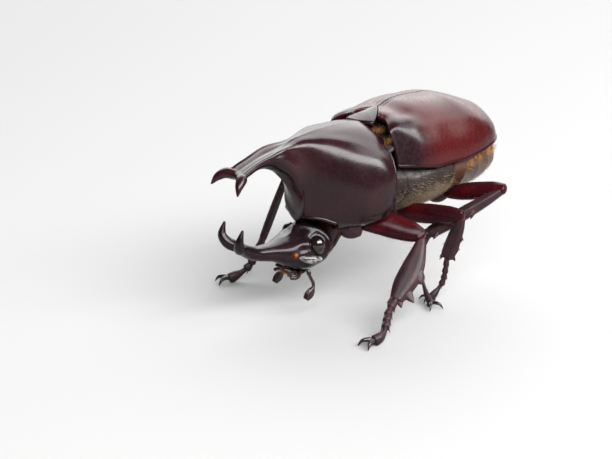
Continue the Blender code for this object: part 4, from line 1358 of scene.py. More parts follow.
# Head and head horn
@dataclass
class Head(ForkedShell):
    """Head capsule with brow ridges, and the head horn."""

    stations: Rows = (
        (-10.2, -9.9, -10.4, -14.6, 4.0), (-11.2, -8.9, -11.5, -15.6, 4.7),
        (-12.7, -8.5, -12.8, -16.1, 4.8), (-14.3, -8.5, -14.3, -16.4, 4.7),
        (-15.8, -9.0, -15.8, -16.2, 4.4), (-17.2, -9.8, -17.4, -15.6, 3.8),
        (-18.7, -10.3, -18.9, -14.7, 3.0), (-20.2, -10.5, -20.3, -13.8, 2.2),
        (-21.7, -10.5, -21.9, -13.3, 1.8), (-23.5, -10.3, -23.7, -12.8, 1.6),
        (-25.3, -9.5, -25.7, -11.9, 1.7), (-26.8, -8.5, -27.6, -10.2, 1.9),
        (-27.7, -8.0, -28.4, -8.8, 1.3))
    count: int = 96
    fork_at: float = 10.9
    part_at: float = 6.2
    web: tuple[float, float] = (-0.55, 0.45)
    tine: Rows = (
        (1.8, -28.1, -8.95), (2.65, -28.7, -7.5), (2.74, -28.05, -5.35))
    tine_sizes: Rows = (
        (1.35, 1.3), (1.2, 1.05), (0.85, 0.72), (0.24, 0.20))
    step_size: float = 0.08
    eye_centre: Point = (4.1, -13.35, -11.15)
    eye_reach: Point = (1.55, 1.35, 1.72)
    eye_points: int = 48
    eye_bar: Rows = (
        (3.7, -17.0, -12.75), (4.3, -16.2, -13.0), (4.75, -14.9, -13.35),
        (4.85, -13.6, -13.6), (4.35, -12.6, -13.8))
    eye_bar_sizes: Rows = (
        (0.28, 0.30), (0.60, 0.52), (0.75, 0.62), (0.60, 0.50), (0.28, 0.25))
    lumps: tuple[tuple[float, Row, Row], ...] = (
        (0.15, (4.3, -15.3, -12.1), (1.0, 1.6, 0.55)),
        (0.20, (3.5, -17.4, -13.1), (1.0, 2.0, 0.60)),
        (-0.30, (4.1, -16.3, -11.3), (1.0, 1.1, 0.9)),
        (0.20, (4.0, -15.4, -14.4), (1.2, 1.2, 0.9)))
    hollows: tuple[tuple[float, Row, Row], ...] = (
        (-0.60, (1.7, -15.9, -9.3), (1.8, 1.5, 1.1)),
        (-0.40, (3.5, -14.2, -9.6), (1.0, 1.2, 0.9)))
    cheek_tuft: Point = (3.72, -17.45, -12.25)
    skin_sag: Rows = (
        (0.0, 0.0), (0.08, 0.45), (0.25, 1.0), (0.5, 1.3), (0.75, 0.9), (1.0, 0.0))
    temple: Rows = (
        (0.2, -15.0, -8.6), (0.95, -14.0, -8.5), (2.1, -12.85, -8.8), (3.2, -11.8, -9.6),
        (4.4, -11.5, -10.7), (4.7, -11.6, -12.0))

    head_section: Rows = (
        (1, 0), (.97, .32), (.84, .64), (.58, .88), (.22, .99), (-.12, 1), (-.42, .95),
        (-.68, .80), (-.87, .55), (-.97, .27), (-1, 0))

    def sections(self, t: float) -> np.ndarray:
        """The one head section."""
        return section(self.head_section, self.count)

    def relief(self, t: np.ndarray, s: np.ndarray, grid: np.ndarray) -> np.ndarray:
        """Brow ridge before the eye, cheek, and a hollow each side of the horn's root.

        Args:
            t: stations; not used.
            s: share of the way round; not used.
            grid: rings.

        Returns:
            Height in millimetres.
        """
        side = np.stack([np.abs(grid[..., 0]), grid[..., 1], grid[..., 2]], axis=-1)

        def uneven(table: tuple[tuple[float, Row, Row], ...]) -> np.ndarray:
            """Soft lumps and hollows on both sides, from the height, place and reach of each."""
            return sum(rise * np.exp(-(((side - np.array(centre)) / np.array(reach)) ** 2
                                       ).sum(axis=-1)) for rise, centre, reach in table)

        def ridge(path: Rows, reach: float) -> np.ndarray:
            """Soft ridge along a path on both sides.

            Args:
                path: its line on the left.
                reach: its half width.

            Returns:
                Height of 0 to 1.
            """
            line = smooth(path, np.linspace(0, len(path) - 1, 30))
            away = np.linalg.norm(side[..., None, :] - line, axis=-1).min(axis=-1)
            return np.exp(-(away / reach) ** 2)

        height = uneven(self.lumps)
        height += 0.70 * ridge(self.temple, 0.62)
        height += uneven(self.hollows)
        away = (side - np.array(self.eye_centre)) / np.array(self.eye_reach)
        height -= 0.28 * hump(np.linalg.norm(away, axis=-1), 1.12, 0.14)
        return height

    def rear(self, grid: np.ndarray) -> np.ndarray:
        """The neck end, closed.

        Args:
            grid: rings.

        Returns:
            Rings that close it.
        """
        middle = grid[0].mean(axis=0)
        return np.array([middle + (grid[0] - middle) * share + np.array([0, 0.5, 0])
                         for share in (0.4, 0.85)])

    def build(self, rim: np.ndarray) -> None:
        """Make and dress the head, its horn, eyes and the joint skin behind it.

        Args:
            rim: edge of the head opening.
        """
        head, horn = self.pieces("head_shell", "head_horn_shell")
        dress(head, HEAD_SHELL, "head")
        dress(horn, HEAD_SHELL, "head_horn")
        for side in Side:
            self.eye(side)
            self.cheek_hair(side)
        self.collar(rim)

    def eye(self, side: Side) -> None:
        """Tall oval eye, and the bar under it, with painted pale glints.

        Args:
            side: left or right.
        """
        angles = np.linspace(0, 2 * np.pi, self.eye_points, endpoint=False)

        def ball(centre: Row, reach: Row) -> Form:
            """Smooth oval with its poles left and right.

            Args:
                centre: its middle on the left.
                reach: its half sizes.

            Returns:
                The oval on this side.
            """
            rows = []
            for polar in np.linspace(0.03, np.pi - 0.03, 36):
                ring = np.column_stack([np.full(self.eye_points, math.cos(polar)),
                                        math.sin(polar) * np.cos(angles),
                                        math.sin(polar) * np.sin(angles)])
                rows.append(ring * np.array(reach))
            return rings_form((np.array(rows) + np.array(centre)) * side.flip)

        cast("eye_" + side.word + "_lens", ball(self.eye_centre, self.eye_reach), from_fore,
             EYE, "eye_" + side.word)
        bar = tube(np.array(self.eye_bar) * side.flip, self.eye_bar_sizes, (0, 0, 1), 28, 44)
        # The bar's pale patches are painted glints of reflected light.
        cast("eye_bar_" + side.word, bar, from_fore, EYE_BAR_PAINTED_GLINTS)

    def cheek_hair(self, side: Side) -> None:
        """Small orange tuft on the cheek, in front of the eye.

        Args:
            side: left or right.
        """
        form = tuft_root(side, self.cheek_tuft, (0.42, 0.34),
                         ((1.0, -0.3), (0.9, 0.0), (0.5, 0.08)), 14)
        obj = tufted("cheek_tuft_root_" + side.word, form, from_fore,
                     np.array([0.5, -0.6, 0.2]) * side.flip @ FORE.T)
        HairCoat("cheek_tuft_" + side.word, HAIR_ORANGE, per_mm2=90, length=0.55, radius=0.018,
                 lean=0.6, jitter=0.5, seed=6).grow(obj)

    def collar(self, rim: np.ndarray) -> None:
        """Joint skin between head and shield, its fringe, and the shield's beaded edge.

        Args:
            rim: edge of the head opening.
        """
        share = np.linspace(0, 1, len(rim))
        angle = np.radians(-118 + 236 * share)
        ty, tz, _, bz, w = smooth(self.stations, np.array(1.1))
        neck = np.column_stack([np.sin(-angle) * (w - 0.1), np.full(len(rim), ty),
                                (tz + bz) / 2 + np.cos(angle) * ((tz - bz) / 2 - 0.1)])
        inner_rim = rim + np.array([0, 1.0, 0.1])
        rows = []
        for f, sag in self.skin_sag:
            row = inner_rim + (neck - inner_rim) * f
            row[:, 1] += sag
            rows.append(row)
        form, coat, root = lined(rows, (0, 0.4, 0.15), share, slice(0, 2))
        skin = mesh_object("collar_skin", form.placed(from_fore))
        furred(skin, coat, np.array([0, -1.0, -0.8]) @ FORE.T, root)
        dress(skin, JOINT_SKIN)
        HairCoat("collar_fringe", HAIR_RUST, per_mm2=14, length=0.7, radius=0.016,
                 seed=5).grow(skin)
        bead = tube(rim[::3] + np.array([0, 0.05, 0.05]), [(0.34, 0.34)] * 2, (0, 1, 0.3), 18, 160)
        cast("pronotum_front_bead", bead, from_fore, SHELL)


# Feelers and mouth
@dataclass
class Feelers:
    """Antennae with a club of three plates, and the mouthparts."""

    path: Rows = (
        (4.4, -15.6, -15.2), (4.7, -15.5, -16.2), (4.7, -15.0, -17.2),
        (4.6, -14.6, -18.0), (4.7, -14.7, -18.8))
    beads: int = 7
    scape_sizes: Rows = ((0.32, 0.32), (0.44, 0.42), (0.28, 0.28))
    bead_sizes: Rows = ((0.18, 0.18), (0.34, 0.33), (0.24, 0.24))
    club_sizes: Rows = ((0.16, 0.28), (0.21, 0.62), (0.22, 0.68), (0.15, 0.40))
    lip: Rows = ((0, -13.4, -16.95), (0, -15.6, -16.9), (0, -17.4, -16.35))
    lip_sizes: Rows = ((1.2, 0.35), (2.0, 0.55), (1.6, 0.5))
    jaw: Rows = ((1.2, -16.5, -16.3), (1.6, -17.5, -15.9), (1.2, -18.4, -15.4))
    jaw_sizes: Rows = ((0.7, 0.45), (0.6, 0.4), (0.25, 0.2))
    outer_palp: Rows = (
        (1.7, -15.4, -16.5), (2.5, -16.2, -16.9), (2.7, -17.1, -17.0), (2.4, -17.9, -16.8))
    inner_palp: Rows = ((0.6, -15.9, -16.7), (0.9, -16.7, -17.1), (0.8, -17.3, -17.1))

    def antenna(self, side: Side) -> None:
        """Scape, beads and club of one side.

        Args:
            side: left or right.
        """
        form = tube(self.path[:2], self.scape_sizes, (1, 0, 0), 14, 14)
        for k in range(self.beads):
            first = 1.0 + 3.0 * k / self.beads
            last = min(first + 3.0 / self.beads + 0.08, 4.0)
            ends = smooth(self.path, np.array([first, last]))
            form += tube(ends, self.bead_sizes, (1, 0, 0), 14, 8)
        for k in (-1, 0, 1):
            root = np.array([4.7 + 0.12 * k, -14.7, -18.7])
            tip = np.array([4.75 + 0.42 * k, -16.3, -20.4])
            middle = (root + tip) / 2 + np.array([0.1 * k, 0.1, 0.05])
            form += tube([root, middle, tip], self.club_sizes, (1, 0, 0), 18, 18)
        form.points = form.points * side.flip
        obj = fused("antenna_" + side.word + "_shell", form.placed(from_fore), 0.05, 3)
        dress(obj, FEELER, "antenna_" + side.word)

    def mouth(self) -> None:
        """Lower lip, mandibles, jointed palps and their orange brush."""
        form = tube(self.lip, self.lip_sizes, (1, 0, 0), 24, 20)
        for side in Side:
            form += tube(np.array(self.jaw) * side.flip, self.jaw_sizes, (1, 0, 0), 16, 16)
            form += self.palp(np.array(self.outer_palp) * side.flip, 4, 0.36)
            form += self.palp(np.array(self.inner_palp) * side.flip, 3, 0.27)
        obj = fused("mouthparts_shell", form.placed(from_fore), 0.05, 3)
        local = to_fore(rows_of(obj.data.vertices, "co") / MM)
        brush = step(-16.9, -17.6, local[:, 1]) * (1 - step(0.9, 1.5, np.abs(local[:, 0])))
        root = (local[:, :2] - local[:, :2].min(axis=0)) / np.ptp(local[:, :2], axis=0)
        furred(obj, brush, (0, -1.0, -0.3), root)
        dress(obj, FEELER, "mouthparts")
        HairCoat("mouth_brush", HAIR_ORANGE, per_mm2=16, length=0.8, radius=0.016,
                 lean=0.9, seed=8).grow(obj)

    def palp(self, path: np.ndarray, joints: int, radius: float) -> Form:
        """Chain of short, equal joints.

        Args:
            path: key points.
            joints: number of joints.
            radius: half width of a joint.

        Returns:
            The chain.
        """
        last = len(path) - 1
        sizes = [(radius * share,) * 2 for share in (0.72, 1.05, 0.9)]
        return joined(tube(smooth(path, np.clip(np.array([k, k + 1.04]) / joints * last, 0, last)),
                           sizes, (0, 0, 1), 12, 8) for k in range(joints))

    def build(self) -> None:
        """Make and dress feelers and mouth."""
        for side in Side:
            self.antenna(side)
        self.mouth()


# Wing cases and scutellum
@dataclass
class WingCases:
    """Two domed wing cases that meet at the seam, and the scutellum between them."""

    length: float = 28.4
    half_width: float = 12.1
    rise: float = 10.6
    thickness: float = 0.7
    seam: float = 0.24
    shoulder: float = 1.9
    plateau: float = 0.45
    corner_way: Point = (0.83, -0.50, 0.20)
    corner_out: float = 8.15
    corner_round: float = 0.35
    scutellum_half_width: float = 3.5
    scutellum_length: float = 4.2
    scutellum_power: float = 1.35
    scutellum_rings: Rows = (
        (0.98, -0.9), (1.0, -0.22), (0.985, -0.09), (0.95, -0.02), (0.88, 0.0), (0.7, 0.04),
        (0.45, 0.07), (0.2, 0.09), (0.05, 0.09))
    front: float = 0.9
    side_power: float = 0.85
    top_power: float = 0.8
    gap_rows: Rows = ((-2.2, 0.9), (-1.2, 0.4), (-0.2, 0.2), (0.8, 0.2), (1.6, 0.25))
    gap_points: int = 60
    edge_blend: float = 0.10
    rows: int = 150
    cols: int = 96
    widths: Rows = (
        (0, .70), (.04, .82), (.12, .91), (.35, .97), (.55, 1.0), (.72, .97), (.86, .84),
        (.95, .58), (1, .16))
    tops: Rows = (
        (0, .70), (.04, .84), (.15, .95), (.35, 1.0), (.55, .97), (.75, .82), (.88, .60),
        (.96, .36), (1, .18))
    margins: Rows = (
        (0, 1.0), (.06, .7), (.12, .3), (.2, -.35), (.27, -.7), (.46, -.8), (.6, -.5),
        (.8, .3), (.95, .9), (1, 1.06))

    def surface(self, inset: float) -> np.ndarray:
        """Grid of one wing case.

        Args:
            inset: distance inside the outer face.

        Returns:
            Rows from front to rear of points from the seam to the outer edge.
        """
        along = np.linspace(0, 1, self.rows)
        around = np.linspace(0, 1, self.cols)
        around = around - 0.045 * np.sin(2 * np.pi * around)
        reach = self.length - self.front - inset
        y = self.front + reach * np.sin(along * np.pi / 2) ** 1.1
        u = (y + inset * along) / self.length
        w = np.maximum(self.half_width * keyed(self.widths, u) - inset, 0.3)
        low = keyed(self.margins, u)
        rise = np.maximum(self.rise * keyed(self.tops, u) - low - inset, 0.2)
        share = np.clip(y / self.scutellum_length, 0, 1)
        edge = (self.scutellum_half_width * (1 - share ** self.scutellum_power) + self.seam / 2
                + 0.06 * (1 - share))
        first = np.arcsin(np.clip((edge / w) ** (1 / self.side_power), 0, 1))
        angle = first[:, None] + (np.pi / 2 - first[:, None]) * around[None, :]
        x = np.maximum(w[:, None] * np.sin(angle) ** self.side_power, edge[:, None])
        x[:, 0] = edge
        z = low[:, None] + rise[:, None] * np.maximum(np.cos(angle), 0.0) ** self.top_power
        forward = self.shoulder * step(4.5, 8.5, x) * (1 - step(0.5, 7.0, y))[:, None]
        depth = y[:, None] - forward
        level = (1 - step(0.2, 3.4, depth)) * (1 - step(8.0, 10.0, x))
        z = z + self.plateau * (level - 0.9 * hump(depth, 4.8, 1.7) * (1 - step(5.5, 9.0, x)))
        points = np.stack([x, depth, z], axis=-1)
        way = unit(self.corner_way)
        excess = points @ way - self.corner_out + inset
        cut = 0.5 * (excess + np.sqrt(excess ** 2 + self.corner_round ** 2))
        return points - np.minimum(cut, 2.5)[..., None] * way * (1 - step(5.0, 8.0, depth))[..., None]

    def relief(self, grid: np.ndarray) -> np.ndarray:
        """Height of shoulder, seam ridge, side bead and rear swelling.

        Args:
            grid: outer face.

        Returns:
            Height in millimetres.
        """
        across = np.gradient(grid, axis=1)
        width = np.cumsum(np.linalg.norm(across, axis=2), axis=1)
        from_seam = width - width[:, :1]
        from_edge = width[:, -1:] - width
        length = np.linalg.norm(np.gradient(grid, axis=0), axis=2)
        from_front = np.cumsum(length, axis=0)
        height = -0.055 * hump(from_seam, 0.85, 0.14) + 0.03 * hump(from_seam, 0.3, 0.3)
        bead = 0.25 + 0.75 * step(4.0, 10.0, grid[..., 1])
        height += bead * (0.16 * hump(from_edge, 0.16, 0.22) - 0.09 * hump(from_edge, 0.62, 0.2))
        height += 0.05 * hump(from_front, 0.3, 0.3) - 0.05 * hump(from_front, 0.85, 0.25)
        y, x = grid[..., 1], grid[..., 0]
        height += 0.38 * hump(y, 3.6, 2.0) * hump(x, 8.6, 1.7)
        height += 0.30 * hump(y, 23.6, 2.2) * hump(x, 5.6, 2.0)
        return height

    def plate(self, side: Side) -> bpy.types.Object:
        """One wing case, closed and dressed.

        Args:
            side: left or right.

        Returns:
            The piece.
        """
        outer, inner = self.surface(0.0), self.surface(self.thickness)
        inner[:, 0, 0] = outer[:, 0, 0]
        n = unit(np.cross(np.gradient(outer, axis=1), np.gradient(outer, axis=0)))
        n *= np.sign((n * (outer - np.array([0, 14.0, 0]))).sum(axis=-1).mean())
        outer = outer + n * self.relief(outer)[..., None]
        outer[:, -1] = outer[:, -1] * (1 - self.edge_blend) + inner[:, -1] * self.edge_blend
        rows, cols = self.rows, self.cols
        points = np.vstack([outer.reshape(-1, 3), inner.reshape(-1, 3)]) * side.flip
        size = rows * cols
        faces = []
        for i in range(rows - 1):
            for j in range(cols - 1):
                a = i * cols + j
                faces.append((a, a + cols, a + cols + 1, a + 1))
                faces.append((size + a, size + a + 1, size + a + cols + 1, size + a + cols))
            for j in (0, cols - 1):
                a = i * cols + j
                faces.append((a, size + a, size + a + cols, a + cols))
        for j in range(cols - 1):
            for i in (0, rows - 1):
                a = i * cols + j
                faces.append((a, a + 1, size + a + 1, size + a))
        obj = mesh_object("wing_case_" + side.word, Form(points, faces).placed(from_hind))
        y = points[:, 1]
        x = np.abs(points[:, 0])
        # Painted shade mixed into the colour: dark at the front outer shoulder under the shield,
        # along the seam, the front edge and the outer edge, where it also dims the edge highlight.
        shade = 0.95 * (1 - step(1.5, 8.5, y)) * step(3.0, 8.5, x)
        shade = np.maximum(shade, 0.75 * hump(x, 0.2, 0.5))
        shade = np.maximum(shade, 0.55 * (1 - step(0.8, 2.6, y)))
        edge = np.tile(np.arange(cols) / (cols - 1), rows * 2)
        shade = np.maximum(shade, 0.8 * step(0.965, 0.995, edge))
        set_attribute(obj, "shade", np.clip(shade, 0, 1))
        return dress(obj, WING_WITH_PAINTED_SHADE, "elytron_" + side.word)

    def scutellum(self) -> None:
        """Small convex shield with rounded edges between the wing cases."""
        share = np.linspace(0, 1, 40)
        half = np.column_stack([self.scutellum_half_width * (1 - share ** self.scutellum_power),
                                self.scutellum_length * share - 0.7 * (1 - share) ** 3])
        ring = np.vstack([half, half[-2:0:-1] * np.array([-1, 1])])
        centre = np.array([0, self.scutellum_length * 0.35])
        rings = []
        for size, drop in self.scutellum_rings:
            flat = centre + (ring - centre) * size
            z = 8.80 + 0.27 * flat[:, 1] - 0.035 * flat[:, 0] ** 2 + drop
            rings.append(np.column_stack([flat, z]))
        cast("scutellum_shell", rings_form(rings), from_hind, SHELL, "scutellum")

    def gap_hair(self, side: Side) -> None:
        """Golden joint skin with hair, in the gap between shield and wing case.

        Args:
            side: left or right.
        """
        count = self.gap_points
        x = np.linspace(1.4, 8.2, count)
        u = self.front / self.length
        w = self.half_width * float(keyed(self.widths, u))
        top = self.rise * float(keyed(self.tops, u))
        low = float(keyed(self.margins, u))
        angle = np.arcsin(np.clip((x / max(w, 10.8)) ** (1 / self.side_power), 0, 1))
        z = low + (top - low) * np.maximum(np.cos(angle), 0) ** self.top_power - 2.2
        rows = [np.column_stack([x * side.value, np.full(count, y), z - lower])
                for y, lower in self.gap_rows]
        form, coat, root = lined(rows, (0, 0, -0.5), np.arange(count) / count, slice(1, 4))
        obj = mesh_object("gap_skin_" + side.word, form.placed(from_hind))
        x, y = form.points[:, 0] * side.value, form.points[:, 1]
        coat *= np.maximum(hump(x, 4.0, 0.45), hump(x, 7.2, 0.30)) * (1 - step(0.3, 1.2, y))
        furred(obj, coat, np.array([0.1, 1.0, 0.1]) * side.flip, root)
        dress(obj, BELLY)
        HairCoat("gap_hair_" + side.word, HAIR_GOLD, per_mm2=80, length=1.4, radius=0.022,
                 lean=-0.2, jitter=0.3, seed=12).grow(obj)

    def build(self) -> None:
        """Make and dress both wing cases, the scutellum and the gap hair."""
        for side in Side:
            self.plate(side)
            self.gap_hair(side)
        self.scutellum()


# Hind thorax and abdomen
@dataclass
class Trunk:
    """Body under the wing cases: downy thorax and plated abdomen with side tufts."""

    thorax: Rows = (
        (-0.6, 5.0, -7.4, 7.8), (1.2, 6.2, -8.6, 9.2), (3.0, 6.4, -9.3, 10.2),
        (6.0, 7.5, -9.6, 10.9), (9.0, 7.8, -9.5, 11.1), (11.6, 7.8, -9.2, 11.2))
    abdomen: Rows = (
        (12.0, 7.8, -9.1, 11.2), (15.0, 7.8, -9.0, 11.4), (18.5, 7.4, -8.9, 11.4),
        (21.5, 6.6, -8.5, 10.9), (24.0, 5.0, -7.6, 9.9), (26.0, 3.0, -6.2, 8.2),
        (27.4, 0.9, -4.6, 5.8), (28.0, -0.3, -3.4, 3.0))
    tuft_places: Rows = (
        (11.0, 15.1, -2.1), (11.05, 17.5, -1.3), (10.95, 19.9, -1.0), (10.2, 22.5, -0.7))
    profile: Rows = (
        (1, 0), (.92, .30), (.74, .55), (.50, .74), (.24, .86), (.04, .93), (-.10, .975),
        (-.32, .96), (-.56, .84), (-.78, .62), (-.94, .34), (-1, 0))
    count: int = 120

    def grid(self, stations: Rows, times: np.ndarray, grow: np.ndarray) -> np.ndarray:
        """Upright rings.

        Args:
            stations: rows of y, top, bottom and half width.
            times: places along them.
            grow: extra size of each ring.

        Returns:
            Array of rings.
        """
        ring = section(self.profile, self.count)
        y, top, bottom, w = smooth(stations, times).T
        z = ((top + bottom) / 2)[:, None] + ring[:, 0] * ((top - bottom) / 2 + grow)[:, None]
        x = ring[:, 1] * (w + grow)[:, None]
        return np.stack([x, np.repeat(y[:, None], self.count, 1), z], axis=-1)

    def skin(self, name: str, grid: np.ndarray, end: float) -> bpy.types.Object:
        """Skin with its unwrap, hair direction and hair density.

        Args:
            name: piece name.
            grid: rings.
            end: how far its rear end bulges.

        Returns:
            The object.
        """
        form = rings_form(grid, 0.2, end)
        obj = mesh_object(name, form.placed(from_hind))
        rows, count = grid.shape[:2]
        height = form.points[:, 2]
        root = np.zeros((len(form.points), 2))
        root[:rows * count] = np.column_stack([
            np.tile(np.arange(count) / count, rows), np.repeat(np.arange(rows) / rows, count)])
        coat = (1 - step(-5.5, -2.0, height)) * 0.95 + 0.05
        furred(obj, coat, np.array([0, 1.0, -0.35]) @ HIND.T, root)
        return obj

    def build(self) -> None:
        """Make and dress thorax, abdomen and their hair."""
        times = np.linspace(0, len(self.thorax) - 1, 70)
        plates = -0.22 * (hump(times, 2.45, 0.07) + hump(times, 1.1, 0.06))
        thorax = self.skin("hind_thorax_shell", self.grid(self.thorax, times, plates), 0.0)
        dress(thorax, BELLY, "hind_thorax")
        HairCoat("thorax_down", HAIR_PALE, per_mm2=17, length=0.8, radius=0.020, lean=1.9,
                 seed=21).grow(thorax)
        count = len(self.abdomen) - 1
        times = np.linspace(0, count, 150)
        phase = times % 1.0
        plates = 0.16 * phase ** 2 - 0.16 * step(0.93, 1.0, phase)
        belly = self.skin("abdomen_shell", self.grid(self.abdomen, times, plates), 0.3)
        dress(belly, ABDOMEN, "abdomen")
        HairCoat("abdomen_down", HAIR_PALE, per_mm2=5, length=0.55, radius=0.016, lean=1.9,
                 seed=22).grow(belly)
        for side in Side:
            self.tufts(side)

    def tufts(self, side: Side) -> None:
        """Orange tufts along the upper side of the abdomen.

        Args:
            side: left or right.
        """
        form = joined(tuft_root(side, place, (0.62, 0.5), ((1.0, -0.25), (0.9, 0.1), (0.5, 0.2)),
                                18) for place in self.tuft_places)
        obj = tufted("tuft_roots_" + side.word, form, from_hind,
                     np.array([0.3, 1.0, 0.2]) * side.flip @ HIND.T)
        HairCoat("side_tufts_" + side.word, HAIR_GOLD, per_mm2=60, length=1.15, radius=0.02,
                 lean=0.9, jitter=0.6, seed=31).grow(obj)


# Legs
@dataclass(frozen=True)
class LegBuild:
    """Proportions of one pair of legs."""

    size: float
    thigh: Rows
    shin: Rows
    shin_centre: Rows
    foot: float
    claw: float
    teeth: Rows


# Teeth of a shin: share of its length and distance across at the root, the same at the
# tip, half width, how far the tip stands out of the shin's plane, and the thickness as a
# share of the width
SLIM_TEETH = (
    (0.40, 0.9, 0.50, 1.95, 0.42, -0.45, 0.8), (0.40, 0.9, 0.50, 1.95, 0.42, 0.45, 0.8),
    (0.66, 0.9, 0.76, 1.95, 0.42, -0.45, 0.8), (0.66, 0.9, 0.76, 1.95, 0.42, 0.45, 0.8),
    (0.90, 0.6, 1.02, 1.95, 0.62, 0.0, 0.8), (0.95, -0.5, 1.12, -1.5, 0.55, 0.3, 0.8),
    (0.97, 0.1, 1.14, 0.5, 0.5, -0.9, 0.8), (0.97, 0.1, 1.14, 0.6, 0.5, 0.9, 0.8))
BUILDS = {
    Pair.FRONT: LegBuild(
        1.0,
        ((2.40, 1.50), (2.35, 1.50), (2.30, 1.45), (2.25, 1.40), (2.10, 1.30), (1.80, 1.20),
         (1.15, .85)),
        ((.80, .62), (1.35, .72), (1.85, .80), (2.05, .82), (1.85, .80), (1.25, .70)),
        ((0.0,), (0.3,), (0.5,), (0.5,), (0.25,), (0.1,)), 1.75, 1.5,
        ((0.50, 1.3, 0.66, 3.05, 1.25, 0.0, 0.5), (0.84, 0.8, 0.96, 3.05, 1.10, 0.0, 0.5),
         (0.96, 0.1, 1.10, 1.45, 0.85, 0.0, 0.5))),
    Pair.MID: LegBuild(
        0.88,
        ((1.60, 1.20), (2.00, 1.35), (2.15, 1.40), (2.15, 1.40), (2.00, 1.30), (1.75, 1.20),
         (1.10, .85)),
        ((.80, .70), (1.15, .90), (1.40, 1.00), (1.50, 1.02), (1.55, 1.02), (1.35, .90)),
        ((0.0,), (0.1,), (0.1,), (0.1,), (0.1,), (0.0,)), 1.45, 1.25, SLIM_TEETH),
    Pair.HIND: LegBuild(
        1.0,
        ((.90, .80), (1.45, 1.15), (1.75, 1.30), (1.80, 1.32), (1.75, 1.28), (1.60, 1.20),
         (1.10, .85)),
        ((.75, .75), (1.05, 1.00), (1.25, 1.15), (1.35, 1.20), (1.45, 1.20), (1.30, 1.00)),
        ((0.0,), (0.1,), (0.1,), (0.1,), (0.1,), (0.0,)), 1.15, 1.2, SLIM_TEETH),
}


